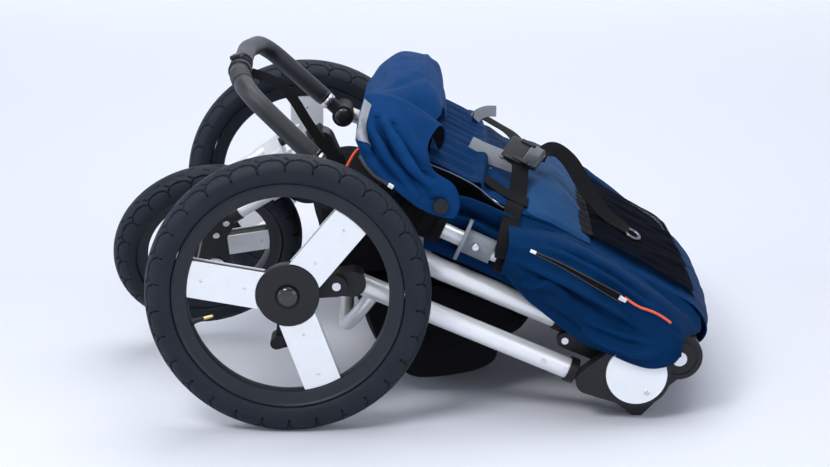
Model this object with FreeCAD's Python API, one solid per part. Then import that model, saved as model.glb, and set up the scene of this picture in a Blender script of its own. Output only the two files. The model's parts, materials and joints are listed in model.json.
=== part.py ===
"""Three-wheel jogging stroller, folded: the handle lies over the frame and the rear legs are tucked in.

The stroller stands on its two rear wheels and on the feet of its hub housings. X runs from the front
wheel to the hubs, Y across the stroller, Z up. Lengths are millimetres. Everything that exists on both
sides is built on the +Y side and mirrored.
"""
import FreeCAD, Part
import math
import os
from FreeCAD import Placement, Rotation, Vector

os.makedirs("parts", exist_ok=True)

# The side view is drawn from the suspension and the hubs; this brings the middle of the footprint to X = 0
ORIGIN_SHIFT = Vector(10.0, 0, 0)

# Clearances
RUNNING_GAP = 0.5
FACE_GAP = 0.3
SHAFT_GAP = 0.05

# Rear wheels, 16 inch
REAR_AXLE = (-171.0, 198.0)
REAR_TRACK_HALF = 325.0
REAR_TYRE_OUTER = 198.0
REAR_TYRE_SECTION = 23.5
REAR_RIM_OUTER = 161.0
REAR_RIM_INNER = 140.0
REAR_SPOKE_WIDTH = 53.0
REAR_COVER_RADIUS = 44.0

# Front wheel, 12.5 inch, on a swivelling fork
FRONT_TYRE_OUTER = 145.6
FRONT_TYRE_SECTION = 22.0
FRONT_RIM_OUTER = 113.0
FRONT_RIM_INNER = 94.0
FRONT_SPOKE_WIDTH = 36.0
FRONT_COVER_RADIUS = 27.0
SWIVEL_FOOT = (-340.0, 215.0)
SWIVEL_TILT = 31.0
SWIVEL_TURN = 25.5
TRAIL = 62.0
FORK_HALF_WIDTH = 48.0
BLADE_RADIUS = 11.5
STEERER_RADIUS = 12.0

# Fold pivots: A carries the rear legs, B carries the handle
PIVOT_A = (316.0, 71.0)
PIVOT_B = (378.0, 88.0)
PIN_A_RADIUS = 8.0
PIN_B_RADIUS = 6.0
FOOT_POINT = (321.0, 5.0)
FOOT_RADIUS = 8.0

# Layers through a hub, measured from the middle plane
HOUSING_INNER = 225.0
HOUSING_OUTER = 250.0
HANDLE_LAYER = (250.5, 275.5)
REAR_LAYER = (276.0, 299.5)

# Frame tubes
FRONT_LEG_RADIUS = 15.5
FRONT_LEG_Y = 232.0
FRONT_LEG_SLOPE = 0.432
REAR_LEG_RADIUS = 15.0
REAR_LEG_Y = 270.0
REAR_LEG_START = (232.0, 65.0)
REAR_LEG_END = (-86.0, 201.7)
CROSS_TUBE_RADIUS = 10.0
BAR_RADIUS = 9.0
HANDLE_TUBE_RADIUS = 11.5
HANDLE_BEND = (200.0, 263.0, 198.0)
HANDLE_TOP = (-108.0, 225.0, 332.0)
FOAM_RADIUS = 14.0
BAR_TUBE_RADIUS = 10.5

# Suspension
ARM_PIVOT = (-105.0, 199.0)
AXLE_RADIUS = 7.5

# Cords
PULL_RADIUS = 1.8
WRIST_STRAP_RADIUS = 3.0


def at(point, y):
    """A point of the side view, placed at the distance y from the middle plane."""
    return Vector(point[0], y, point[1])


def bar(start, end, radius):
    """A round bar between two points."""
    start = Vector(*start)
    run = Vector(*end) - start
    return Part.makeCylinder(radius, run.Length, start, run)


def pin(point, y0, y1, radius):
    """A round bar along Y."""
    return Part.makeCylinder(radius, y1 - y0, at(point, y0), Vector(0, 1, 0))


def prism(outline, y0, y1):
    """A straight prism along Y over an outline in the side view."""
    corners = [at(point, y0) for point in outline]
    face = Part.Face(Part.makePolygon(corners + corners[:1]))
    return face.extrude(Vector(0, y1 - y0, 0))


def link(first, second, y0, y1):
    """A plate over two circles (x, z, radius) and the straight tangents between them."""
    x0, z0, r0 = first
    x1, z1, r1 = second
    distance = math.hypot(x1 - x0, z1 - z0)
    along = math.atan2(z1 - z0, x1 - x0)
    lean = math.acos((r0 - r1) / distance)
    outline = []
    for x, z, r, side in ((x0, z0, r0, 1), (x1, z1, r1, 1), (x1, z1, r1, -1), (x0, z0, r0, -1)):
        angle = along + side * lean
        outline.append((x + r * math.cos(angle), z + r * math.sin(angle)))
    plate = prism(outline, y0, y1)
    return plate.fuse([pin((x0, z0), y0, y1, r0), pin((x1, z1), y0, y1, r1)]).removeSplitter()


def rounded_path(points, radii):
    """Straight runs joined by tangent arcs, one radius for each inner point."""
    points = [Vector(*point) for point in points]
    edges = []
    start = points[0]
    for corner, after, radius in zip(points[1:-1], points[2:], radii):
        before = (start - corner).normalize()
        onward = (after - corner).normalize()
        turn = math.pi - before.getAngle(onward)
        setback = radius * math.tan(turn / 2)
        arc_start = corner + before * setback
        arc_end = corner + onward * setback
        inward = (before + onward).normalize()
        arc_middle = corner + inward * (radius / math.cos(turn / 2) - radius)
        edges.append(Part.LineSegment(start, arc_start).toShape())
        edges.append(Part.Arc(arc_start, arc_middle, arc_end).toShape())
        start = arc_end
    edges.append(Part.LineSegment(start, points[-1]).toShape())
    return Part.Wire(edges)


def pipe(points, radii, radius):
    """A round tube along a rounded path."""
    path = rounded_path(points, radii)
    profile = Part.Wire(Part.makeCircle(radius, Vector(*points[0]), Vector(*points[1]) - Vector(*points[0])))
    return path.makePipeShell([profile], True, False)


def cord(name, points, radius):
    """A free cord: each arc is as large as the shorter of its two runs allows."""
    vectors = [Vector(*point) for point in points]
    radii = []
    for before, corner, after in zip(vectors, vectors[1:], vectors[2:]):
        shorter = min((corner - before).Length, (after - corner).Length)
        turn = math.pi - (before - corner).getAngle(after - corner)
        radii.append(0.45 * shorter / math.tan(turn / 2))
    tube = pipe(points, radii, radius)
    length = rounded_path(points, radii).Length
    expected = math.pi * radius ** 2 * length
    print(name, "length", round(length, 1), "radii", [round(r, 1) for r in radii],
          "volume ratio", round(tube.Volume / expected, 4))
    return tube


def mirrored(shape):
    return shape.mirror(Vector(0, 0, 0), Vector(0, 1, 0))


def save(name, shapes):
    """Write one sub-part; several shapes become separate solids of one file."""
    solids = [solid for shape in shapes for solid in shape.Solids]
    for solid in solids:
        if not solid.isValid():
            print("invalid solid in", name)
    whole = Part.makeCompound(solids) if len(solids) > 1 else solids[0]
    whole.translate(ORIGIN_SHIFT)
    whole.exportStep("parts/" + name + ".step")


def save_pair(name, shape):
    save(name + "_right", [shape])
    save(name + "_left", [mirrored(shape)])


def swivel_point(along, back):
    """Side-view point in the swivel's own frame: along the axis, and behind it."""
    tilt = math.radians(SWIVEL_TILT)
    x = SWIVEL_FOOT[0] + along * math.cos(tilt) + back * math.sin(tilt)
    z = SWIVEL_FOOT[1] + along * math.sin(tilt) - back * math.cos(tilt)
    return (x, z)


def swivel_bar(along0, along1, back, y, radius):
    """A round bar parallel to the swivel axis."""
    return bar(at(swivel_point(along0, back), y), at(swivel_point(along1, back), y), radius)


def swivelled(shape):
    """Turn a fork piece about the swivel axis, from straight ahead to where it rests."""
    tilt = math.radians(SWIVEL_TILT)
    turned = shape.copy()
    turned.rotate(at(SWIVEL_FOOT, 0), Vector(math.cos(tilt), 0, math.sin(tilt)), SWIVEL_TURN)
    return turned


def spun(shape, degrees):
    """Turn a wheel piece about its own axle; positive runs from +X towards +Z."""
    turned = shape.copy()
    turned.rotate(Vector(0, 0, 0), Vector(0, -1, 0), degrees)
    return turned


def ring_section(outline):
    """A solid of revolution about Y from an outline of (radius, y) points."""
    corners = [Vector(radius, y, 0) for radius, y in outline]
    face = Part.Face(Part.makePolygon(corners + corners[:1]))
    return face.revolve(Vector(0, 0, 0), Vector(0, 1, 0), 360)


def tyre(outer, section, seat):
    """A round tyre, cut flat where it sits on the rim."""
    torus = Part.makeTorus(outer - section, section, Vector(0, 0, 0), Vector(0, 1, 0))
    return torus.cut(Part.makeCylinder(seat, 2 * section, Vector(0, -section, 0), Vector(0, 1, 0)))


def rim(outer, inner, half_width):
    """A box-section rim whose sides slope in towards the spokes."""
    lip = 4.0
    waist = half_width * 0.7
    return ring_section([(outer, half_width), (outer - lip, half_width), (inner, waist),
                         (inner, -waist), (outer - lip, -half_width), (outer, -half_width)])


def three_arms(inner, outer, width, y0, y1, angle):
    """Three equal arms round the axle."""
    arms = []
    for turn in range(3):
        arm = Part.makeBox(outer - inner, y1 - y0, width, Vector(inner, y0, -width / 2))
        arm = arm.common(Part.makeCylinder(outer - 0.2, y1 - y0, Vector(0, y0, 0), Vector(0, 1, 0)))
        arms.append(spun(arm, angle + 120 * turn))
    return arms


def wheel(prefix, place, tyre_size, rim_size, spoke_width, cover_radius, angle, bore, hub_ends, covers):
    """Write one wheel. hub_ends are the two ends of the hub barrel; covers lists the covered sides."""
    core = 7.0
    skin = 2.0
    outer, section = tyre_size
    rim_outer, rim_inner = rim_size
    hub_radius = cover_radius / 2
    hub_length = hub_ends[1] - hub_ends[0]
    hub = Part.makeCylinder(hub_radius, hub_length, Vector(0, hub_ends[0], 0), Vector(0, 1, 0))
    flange = Part.makeCylinder(cover_radius, 2 * core, Vector(0, -core, 0), Vector(0, 1, 0))
    arms = three_arms(cover_radius - 4, rim_inner + 1, spoke_width - 4, -core, core, angle)
    casting = rim(rim_outer, rim_inner, section * 0.7).fuse([hub, flange] + arms).removeSplitter()
    hole_end = 0.2
    axle_hole = Part.makeCylinder(bore, hub_length + 2 * hole_end, Vector(0, hub_ends[0] - hole_end, 0),
                                  Vector(0, 1, 0))
    plates = []
    caps = []
    for side in (1, -1):
        y0, y1 = sorted((side * core, side * (core + skin)))
        plates += three_arms(cover_radius, rim_inner, spoke_width, y0, y1, angle)
    for side in covers:
        dome = ring_section([(0.01, core + 9), (cover_radius * 0.45, core + 8), (cover_radius, core + 3),
                             (cover_radius, core), (0.01, core)])
        cap = ring_section([(0.01, core + 15), (9, core + 14), (cover_radius * 0.34, core + 11),
                            (cover_radius * 0.34, core), (0.01, core)])
        cover = dome.cut(cap).cut(hub)
        cap = cap.cut(hub).cut(axle_hole)
        caps += [cover, cap] if side > 0 else [mirrored(cover), mirrored(cap)]
    pieces = {
        "tyre": [tyre(outer, section, rim_outer + 0.2)],
        "casting": [casting.cut(axle_hole)],
        "spoke_plates": plates,
        "hub_covers": caps,
    }
    for name, shapes in pieces.items():
        moved = []
        for shape in shapes:
            copy = shape.copy()
            copy.Placement = place.multiply(copy.Placement)
            moved.append(copy)
        save(prefix + "_" + name, moved)


def build_wheels():
    for side, name, angle in ((1, "right", 90), (-1, "left", 50)):
        y = side * REAR_TRACK_HALF
        hub_ends = (-26, 9) if side > 0 else (-9, 26)
        wheel("rear_wheel_" + name, Placement(at(REAR_AXLE, y), Rotation()),
              (REAR_TYRE_OUTER, REAR_TYRE_SECTION), (REAR_RIM_OUTER, REAR_RIM_INNER),
              REAR_SPOKE_WIDTH, REAR_COVER_RADIUS, angle, AXLE_RADIUS + SHAFT_GAP, hub_ends, (side,))
    tilt = math.radians(SWIVEL_TILT)
    turn = Placement(Vector(), Rotation(Vector(math.cos(tilt), 0, math.sin(tilt)), SWIVEL_TURN),
                     at(SWIVEL_FOOT, 0))
    place = turn.multiply(Placement(at(swivel_point(0, TRAIL), 0), Rotation()))
    wheel("front_wheel", place, (FRONT_TYRE_OUTER, FRONT_TYRE_SECTION), (FRONT_RIM_OUTER, FRONT_RIM_INNER),
          FRONT_SPOKE_WIDTH, FRONT_COVER_RADIUS, 3, 5 + SHAFT_GAP, (-40, 40), (1, -1))


def build_fork():
    crown_low = 152.0
    crown_high = 178.0
    socket_low = 138.0
    steerer_high = 240.0
    axle_end = FORK_HALF_WIDTH + 5
    tilt_axis = Rotation(Vector(0, 1, 0), -SWIVEL_TILT)
    bridge = Part.makeBox(crown_high - crown_low, 2 * FORK_HALF_WIDTH, 28,
                          Vector(crown_low, -FORK_HALF_WIDTH, -14))
    bridge.Placement = Placement(at(SWIVEL_FOOT, 0), tilt_axis)
    crown = bridge.fuse([swivel_bar(crown_low, crown_high + 4, 0, 0, 21),
                         swivel_bar(crown_high + 4, steerer_high, 0, 0, STEERER_RADIUS)]
                        + [swivel_bar(socket_low, crown_high, 0, side * FORK_HALF_WIDTH, 14.5)
                           for side in (1, -1)]).removeSplitter()
    save("fork_crown", [swivelled(crown)])
    axle_point = swivel_point(0, TRAIL)
    knee = swivel_point(30, 16)
    toe = swivel_point(66, 1)
    blades = []
    dropouts = []
    for side in (1, -1):
        y = side * FORK_HALF_WIDTH
        blades.append(swivelled(swivel_bar(84, socket_low, 0, y, BLADE_RADIUS)))
        y0, y1 = sorted((y - side * 5, y + side * 5))
        lower = link((axle_point[0], axle_point[1], 26), (knee[0], knee[1], 18), y0, y1)
        upper = link((knee[0], knee[1], 18), (toe[0], toe[1], 12), y0, y1)
        socket = swivel_bar(68, 84, 0, y, BLADE_RADIUS + 1.5)
        dropouts.append(swivelled(lower.fuse([upper, socket]).removeSplitter()))
    save("fork_blades", blades)
    save("fork_dropouts", dropouts)
    hardware = [pin(axle_point, -FORK_HALF_WIDTH + 5, FORK_HALF_WIDTH - 5, 5)]
    heads = ((axle_point, 16, 3), (swivel_point(33, 14), 5, 2), (swivel_point(57, 4), 5, 2))
    for point, radius, height in heads:
        head = pin(point, axle_end, axle_end + height, radius)
        hardware += [head, mirrored(head)]
    save("front_axle", [swivelled(shape) for shape in hardware])


def build_head():
    """The steering head: a silver tube round the steerer, and a black casting that takes the front legs."""
    tube_low = 196.0
    tube_high = 226.0
    head_high = 250.0
    lug = swivel_point(230, 52)
    bore = swivel_bar(tube_low - 1, head_high - 6, 0, 0, STEERER_RADIUS + SHAFT_GAP)
    tube = swivel_bar(tube_low, tube_high, 0, 0, 20)
    ear = bar(at(swivel_point(212, 0), 0), at(swivel_point(212, -38), 0), 12)
    knob_hole = swivel_bar(190, 226, -29, 0, 4 + SHAFT_GAP)
    tube = tube.fuse(ear)
    save("head_tube", [tube.cut([bore, knob_hole])])
    body = swivel_bar(tube_high, head_high, 0, 0, 24)
    centre = swivel_point(238, 2)
    web = link((centre[0], centre[1], 20), (lug[0], lug[1], 20), -20, 20)
    ears = pin(lug, -44, 44, 20)
    notch = swivel_bar(tube_low - 10, tube_high, 0, 0, 20 + FACE_GAP)
    housing = body.fuse([web.cut(notch), ears]).removeSplitter().cut(bore)
    save("head_housing", [housing])
    save("swivel_lock_knob", [swivel_bar(192, 216, -29, 0, 4).fuse(swivel_bar(184, 192, -29, 0, 7))])
    return housing


def front_leg_at(x):
    return (x, FRONT_LEG_Y, 122.0 + FRONT_LEG_SLOPE * (233.0 - x))


def build_front_frame(head):
    socket_end = 205.0
    leg = pipe([front_leg_at(socket_end), front_leg_at(5.0), tuple(at(swivel_point(232, 50), 24))], [90.0],
               FRONT_LEG_RADIUS).cut(head)
    save_pair("front_leg", leg)
    plate = link(PIVOT_A + (50,), PIVOT_B + (34,), HOUSING_INNER, HOUSING_OUTER)
    left_edge = link(PIVOT_A + (50,), FOOT_POINT + (FOOT_RADIUS,), HOUSING_INNER, HOUSING_OUTER)
    right_edge = link(PIVOT_B + (34,), FOOT_POINT + (FOOT_RADIUS,), HOUSING_INNER, HOUSING_OUTER)
    infill = prism([PIVOT_A, PIVOT_B, FOOT_POINT], HOUSING_INNER, HOUSING_OUTER)
    foot_outer = HANDLE_LAYER[1] - FACE_GAP
    foot = link((296, 38, 18), FOOT_POINT + (FOOT_RADIUS,), HOUSING_INNER, foot_outer)
    foot = foot.fuse([link((350, 42, 12), FOOT_POINT + (FOOT_RADIUS,), HOUSING_INNER, foot_outer),
                      prism([(296, 38), (350, 42), FOOT_POINT], HOUSING_INNER, foot_outer)])
    boss = pin(PIVOT_A, HOUSING_OUTER, HANDLE_LAYER[1], 18)
    socket = bar(front_leg_at(socket_end), front_leg_at(292.0), 18)
    lug = link((218, 104, 11), (268, 86, 14), 236, HOUSING_OUTER)
    housing = plate.fuse([left_edge, right_edge, infill, foot, boss, socket, lug]).removeSplitter()
    below_floor = Part.makeBox(100, 100, 20, Vector(FOOT_POINT[0] - 50, HOUSING_INNER - 25, -20))
    housing = housing.cut(below_floor)
    save_pair("hub_housing", housing)
    hardware = [pin(PIVOT_A, HANDLE_LAYER[1], REAR_LAYER[1] - 1, PIN_A_RADIUS),
                pin(PIVOT_B, HOUSING_OUTER, HANDLE_LAYER[1] + FACE_GAP, PIN_B_RADIUS),
                pin(PIVOT_B, HANDLE_LAYER[1] + FACE_GAP, 286, 10.5),
                pin((218, 104), HOUSING_OUTER, HOUSING_OUTER + 3, 5)]
    save("pivot_hardware", hardware + [mirrored(shape) for shape in hardware])
    x, y, z = front_leg_at(20.0)
    foot_bar = pin((x, z), -y, y, BAR_RADIUS).cut(leg).cut(mirrored(leg))
    save("frame_bars", [pin(PIVOT_A, -HOUSING_INNER, HOUSING_INNER, BAR_RADIUS), foot_bar])


def build_rear_frame():
    leg = bar(at(REAR_LEG_START, REAR_LEG_Y), at(REAR_LEG_END, REAR_LEG_Y), REAR_LEG_RADIUS)
    save_pair("rear_leg", leg)
    run = (at(REAR_LEG_END, 0) - at(REAR_LEG_START, 0)).normalize()
    start = at(REAR_LEG_START, REAR_LEG_Y)
    sleeve = bar(start, start + run * 12, 18.5).cut(leg)
    arm = link(PIVOT_A + (50,), (249, 59, 18), *REAR_LAYER)
    knuckle = arm.cut(leg).fuse(sleeve).removeSplitter()
    knuckle = knuckle.cut(pin(PIVOT_A, REAR_LAYER[0] - 1, REAR_LAYER[1] - 0.5, PIN_A_RADIUS + SHAFT_GAP))
    save("rear_knuckles", [knuckle, mirrored(knuckle)])
    disc = pin(PIVOT_A, REAR_LAYER[1], REAR_LAYER[1] + 5, 43)
    save("hub_discs", [disc, mirrored(disc)])
    fasteners = []
    for along in (16, 50):
        centre = start + run * along
        fasteners.append(bar(centre + Vector(0, 12, 0), centre + Vector(0, 16, 0), 4).cut(leg))
    cross_corner = (-95.0, 250.0, 122.0)
    cross_start = (-50.0, 266.0, 184.0)
    across = [cross_start, cross_corner]
    across += [(x, -y, z) for x, y, z in reversed(across)]
    cross = pipe(across, [45.0, 45.0], CROSS_TUBE_RADIUS).cut(leg).cut(mirrored(leg))
    save("rear_cross_tube", [cross])
    bracket = link((REAR_LEG_END[0] + 4, REAR_LEG_END[1] - 2, 18), ARM_PIVOT + (16,), 252, 288)
    bracket = bracket.cut(leg)
    save("leg_brackets", [bracket, mirrored(bracket)])
    fasteners += [pin(ARM_PIVOT, 288, 298.0, 6), pin(ARM_PIVOT, 249, 252, 8)]
    save("rear_fasteners", fasteners + [mirrored(shape) for shape in fasteners])


def build_arms():
    bracket_face = 288.0
    arm_inner = bracket_face + RUNNING_GAP
    arm_outer = 297.0
    boss_inner = 262.0
    stub_inner = 232.0
    stub_radius = 6.0
    flat = link(ARM_PIVOT + (15,), REAR_AXLE + (18,), arm_inner, arm_outer)
    flat = flat.cut(pin(ARM_PIVOT, arm_inner - 1, arm_outer + 1, 6 + SHAFT_GAP))
    boss = pin(REAR_AXLE, boss_inner, arm_outer, 18)
    axle = pin(REAR_AXLE, arm_outer, REAR_TRACK_HALF + 8.5, AXLE_RADIUS)
    stub = pin(REAR_AXLE, stub_inner, boss_inner, stub_radius)
    save_pair("suspension_arm", flat.fuse([boss, axle, stub]).removeSplitter())
    lever = link(REAR_AXLE + (13,), (-185, 116, 8), 236, 250)
    lever = lever.cut(pin(REAR_AXLE, 230, 255, stub_radius + SHAFT_GAP))
    pad = link((-192, 104, 9), (-178, 108, 9), 226, 262)
    save("brake_pedal", [mirrored(lever.fuse(pad).removeSplitter())])


def handle_direction():
    """Unit vector from pivot B along the handle tube's first run."""
    return (Vector(*HANDLE_BEND) - at(PIVOT_B, HANDLE_BEND[1])).normalize()


def build_handle_frame():
    joint_point = (HANDLE_TOP[0], HANDLE_TOP[2])
    joint = pin(joint_point, 217, 245, 17)
    start = at(PIVOT_B, HANDLE_BEND[1]) + handle_direction() * 77
    tube = pipe([tuple(start), HANDLE_BEND, HANDLE_TOP], [400.0], HANDLE_TUBE_RADIUS)
    tube = tube.cut([joint, pin(joint_point, 190, 217, 22)])
    save_pair("handle_tube", tube)
    joint_pin = pin(joint_point, 190, 217, 6)
    joint = joint.fuse(joint_pin).removeSplitter()
    save("handle_joints", [joint, mirrored(joint)])
    reach = at(PIVOT_B, HANDLE_BEND[1]) + handle_direction() * 60
    knuckle = link(PIVOT_B + (34,), (reach.x, reach.z, 16), *HANDLE_LAYER)
    knuckle = knuckle.cut(pin(PIVOT_B, HANDLE_LAYER[0] - 1, HANDLE_LAYER[1] + 1, PIN_B_RADIUS + SHAFT_GAP))
    groove = pin(PIVOT_B, HANDLE_LAYER[1] - 1.5, HANDLE_LAYER[1] + 1, 27)
    groove = groove.cut(pin(PIVOT_B, HANDLE_LAYER[1] - 2, HANDLE_LAYER[1] + 2, 23))
    knuckle = knuckle.cut(groove)
    save("handle_knuckles", [knuckle, mirrored(knuckle)])
    slope = Vector(*HANDLE_TOP) - Vector(*HANDLE_BEND)
    run = Vector(slope).normalize()
    flange_at = Vector(*HANDLE_BEND) + slope * ((HANDLE_BEND[0] - 75.0) / (HANDLE_BEND[0] - HANDLE_TOP[0]))
    flange = bar(flange_at, flange_at + run * 5, 31)
    body = bar(flange_at - run * 42, flange_at, 17.5)
    bore = bar(flange_at - run * 60, flange_at + run * 30, HANDLE_TUBE_RADIUS + SHAFT_GAP)
    save_pair("fold_slider", flange.fuse(body).removeSplitter().cut(bore))
    collar = bar(flange_at + run * 34, flange_at + run * 74, 16).cut(bar(flange_at, flange_at + run * 120,
                                                                     HANDLE_TUBE_RADIUS + 0.1))
    save("tube_collars", [collar, mirrored(collar)])


def build_handlebar():
    joint_point = (HANDLE_TOP[0], HANDLE_TOP[2])
    collar = pin(joint_point, 188, 217 - RUNNING_GAP, 17)
    grip_start = (-140.0, 199.0, 363.0)
    shoulder = (-233.0, 182.0, 452.0)
    crown = (-250.0, 88.0, 460.0)
    path = [grip_start, shoulder, crown]
    path += [(x, -y, z) for x, y, z in reversed(path)]
    grip = pipe(path, [52.0, 150.0, 150.0, 52.0], FOAM_RADIUS)
    save("handlebar_grip", [grip])
    bore = pin(joint_point, 189.5, 218, 6 + SHAFT_GAP)
    stub = bar((joint_point[0], 202, joint_point[1]), grip_start, BAR_TUBE_RADIUS).cut(grip)
    end = collar.fuse(stub).removeSplitter().cut(bore)
    save("handlebar_ends", [end, mirrored(end)])


def build_canopy():
    pivot = (15.0, 302.0)
    bow_y = 178.0
    bow_radius = 4.0
    eye = pin(pivot, bow_y - 4, bow_y + 4, 8)
    shoulder = (-55.0, bow_y, 378.0)
    crown = (-64.0, 110.0, 388.0)
    path = [(pivot[0], bow_y, pivot[1]), shoulder, crown]
    path += [(x, -y, z) for x, y, z in reversed(path)]
    bow = pipe(path, [30.0, 60.0, 60.0, 30.0], bow_radius)
    bow = bow.cut([eye, mirrored(eye)])
    bow = bow.fuse([eye, mirrored(eye)]).cut(pin(pivot, -200, 200, 3 + SHAFT_GAP))
    save("canopy_bow", [bow])
    post = pin(pivot, bow_y + 4 + RUNNING_GAP, 226, 8).fuse(pin(pivot, bow_y - 4, 200, 3)).removeSplitter()
    save("canopy_pivots", [post, mirrored(post)])
    hump = prism([(-44, 350), (-46, 398), (-36, 429), (-9, 441), (20, 433), (39, 398), (46, 352)], -166, 166)
    save("canopy_fabric", [hump])
    drape = prism([(-20, 300), (-15, 352), (40, 372), (60, 345), (62, 296), (40, 268)], 264, 288)
    save("canopy_sides", [drape, mirrored(drape)])


def build_seat():
    half_width = 205.0
    back = prism([(60, 264), (60, 338), (187, 290), (331, 198), (412, 134), (428, 104), (420, 96),
                  (384, 112), (250, 190), (190, 216)], -half_width, half_width)
    save("seat_back", [back])
    base = prism([(290, 97), (290, 122), (60, 222), (60, 190)], -half_width, half_width)
    save("seat_base", [base])
    basket = prism([(-48, 150), (-30, 192), (60, 178), (190, 122), (150, 82), (124, 66), (60, 22), (27, 19),
                    (-12, 62), (-40, 112)], -200, 200)
    save("basket", [basket])
    flap = prism([(108, 236), (125, 260), (170, 266), (293, 196), (370, 142), (352, 130), (290, 134),
                  (200, 166), (130, 208)], 284, 298)
    save_pair("side_flap", flap)
    pocket = prism([(215, 275), (216, 284), (331, 211), (410, 147), (434, 114), (431, 106), (414, 135),
                    (331, 201)], -190, 190)
    save("back_pocket", [pocket])


def build_straps():
    def on_back(x):
        """Height of the seat back's upper surface between its first two ridges."""
        return 290.0 + (187.0 - x) * (338.0 - 290.0) / (187.0 - 60.0)
    lift = 1.0
    strap = prism([(64, on_back(64) + lift), (64, on_back(64) + lift + 3), (187, on_back(187) + lift + 3),
                   (187, on_back(187) + lift)], -125, -100)
    save("back_strap", [strap])
    slide = prism([(96, on_back(96) + 5), (96, on_back(96) + 9), (116, on_back(116) + 9),
                   (116, on_back(116) + 5)], -130, -95)
    buckle = prism([(140, on_back(140) + 5), (142, on_back(142) + 17), (176, on_back(176) + 19),
                    (182, on_back(182) + 5)], -134, -91)
    save("strap_buckle", [buckle])
    ring_centre = Vector(323, -120, 225)
    ring = Part.makeTorus(12, 2.5, ring_centre, Vector(0.45, -0.2, 0.87))
    save("strap_hardware", [slide, ring])


def build_cords():
    flap_route = [(296, -307, 186), (312, -310, 174), (332, -311.5, 168), (348, -310, 160), (361, -307, 149)]
    canopy_route = [(-62, -267, 398), (-73, -268, 391), (-82, -269, 380), (-89, -268, 366)]
    wrist_route = [(-238, -20, 446), (-214, -34, 442), (-190, -46, 432), (-171, -50, 409),
                   (-156, -51, 382), (-139, -51, 356), (-124, -52, 332), (-112, -54, 309)]
    save("flap_pull", [cord("flap_pull", flap_route, PULL_RADIUS)])
    save("canopy_pull", [cord("canopy_pull", canopy_route, PULL_RADIUS)])
    save("wrist_strap", [cord("wrist_strap", wrist_route, WRIST_STRAP_RADIUS)])


build_wheels()
build_fork()
build_front_frame(build_head())
build_rear_frame()
build_arms()
build_handle_frame()
build_handlebar()
build_canopy()
build_seat()
build_straps()
build_cords()
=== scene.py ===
"""Looks of the folded jogging stroller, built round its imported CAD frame."""
import bmesh, bpy, json, math
import numpy as np
from mathutils import Matrix, Vector, noise


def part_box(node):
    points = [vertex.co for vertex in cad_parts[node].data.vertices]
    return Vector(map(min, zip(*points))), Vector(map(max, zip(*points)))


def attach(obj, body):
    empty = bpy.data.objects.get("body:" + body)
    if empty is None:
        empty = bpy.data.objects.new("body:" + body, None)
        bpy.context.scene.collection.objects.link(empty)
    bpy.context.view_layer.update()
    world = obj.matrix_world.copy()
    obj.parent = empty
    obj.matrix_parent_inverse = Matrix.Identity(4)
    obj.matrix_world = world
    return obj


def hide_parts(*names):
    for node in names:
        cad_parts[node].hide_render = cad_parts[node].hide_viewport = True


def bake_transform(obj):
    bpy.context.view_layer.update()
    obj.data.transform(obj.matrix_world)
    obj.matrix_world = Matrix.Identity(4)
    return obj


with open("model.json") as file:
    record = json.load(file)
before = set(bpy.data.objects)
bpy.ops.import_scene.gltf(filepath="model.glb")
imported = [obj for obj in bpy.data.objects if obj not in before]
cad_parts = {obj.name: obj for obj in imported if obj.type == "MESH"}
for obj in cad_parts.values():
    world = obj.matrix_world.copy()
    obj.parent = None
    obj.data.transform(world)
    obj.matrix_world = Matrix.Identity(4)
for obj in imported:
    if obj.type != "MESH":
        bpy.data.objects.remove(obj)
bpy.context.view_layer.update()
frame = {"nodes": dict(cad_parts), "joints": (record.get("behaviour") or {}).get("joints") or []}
NODES = frame["nodes"]
JOINTS = {j["name"]: j for j in frame["joints"]}
scene = bpy.context.scene
LINK = scene.collection.objects.link


def P(x, y, z):
    """A point of the part's drawing in millimetres (its X is 10 mm short of the row frame's), in metres."""
    return Vector((x + 10.0, y, z)) * 0.001


SIDES = ((-1, "left"), (1, "right"))


def facing(side):
    """Turn a piece that looks along +Y so that it looks outwards on that side."""
    return Matrix.Rotation(0 if side > 0 else math.pi, 4, "X")


def metres(g):
    """A grid of drawing points in millimetres, in metres."""
    return (g + np.array((10, 0, 0))) * 0.001


# ---------------------------------------------------------------- camera and light
camera = bpy.data.objects.new("camera", bpy.data.cameras.new("camera"))
camera.location = (0.00154, -3.24346, 1.10917)
camera.rotation_euler = (math.pi / 2 - 0.2755689, 0, -0.00434782)
camera.data.lens = 96.04
camera.data.sensor_width = 36.0
camera.data.clip_end = 60
LINK(camera)
scene.camera = camera
scene.view_settings.view_transform = "Standard"
scene.view_settings.look = "None"


def area_light(name, at, aim, size, power, colour=(1, 1, 1)):
    data = bpy.data.lights.new(name, "AREA")
    data.shape = "RECTANGLE"
    data.size, data.size_y = size
    data.energy = power
    data.color = colour
    lamp = bpy.data.objects.new(name, data)
    lamp.location = at
    lamp.rotation_euler = (Vector(aim) - Vector(at)).to_track_quat("-Z", "Y").to_euler()
    lamp.visible_camera = False
    LINK(lamp)


area_light("key", (-1.1, -1.7, 2.3), (0, 0, 0.2), (1.0, 0.8), 45, (1, 0.985, 0.96))
area_light("fill", (2.0, -1.9, 1.3), (0.1, 0, 0.2), (1.6, 1.6), 15, (0.93, 0.96, 1))
area_light("top", (0.2, 0.3, 2.6), (0, 0, 0.1), (2.6, 2.0), 59, (0.97, 0.985, 1))
area_light("back", (0, 5.2, 3.6), (0, 0, 0.2), (7.0, 3.6), 30, (0.95, 0.97, 1))
area_light("side", (-2.7, -0.4, 1.0), (-0.2, 0, 0.25), (1.2, 1.4), 12, (0.72, 0.86, 1))
world = bpy.data.worlds.new("studio")
scene.world = world
world.use_nodes = True
world.node_tree.nodes["Background"].inputs["Color"].default_value = (0.80, 0.86, 1.0, 1)
world.node_tree.nodes["Background"].inputs["Strength"].default_value = 0.325


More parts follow.
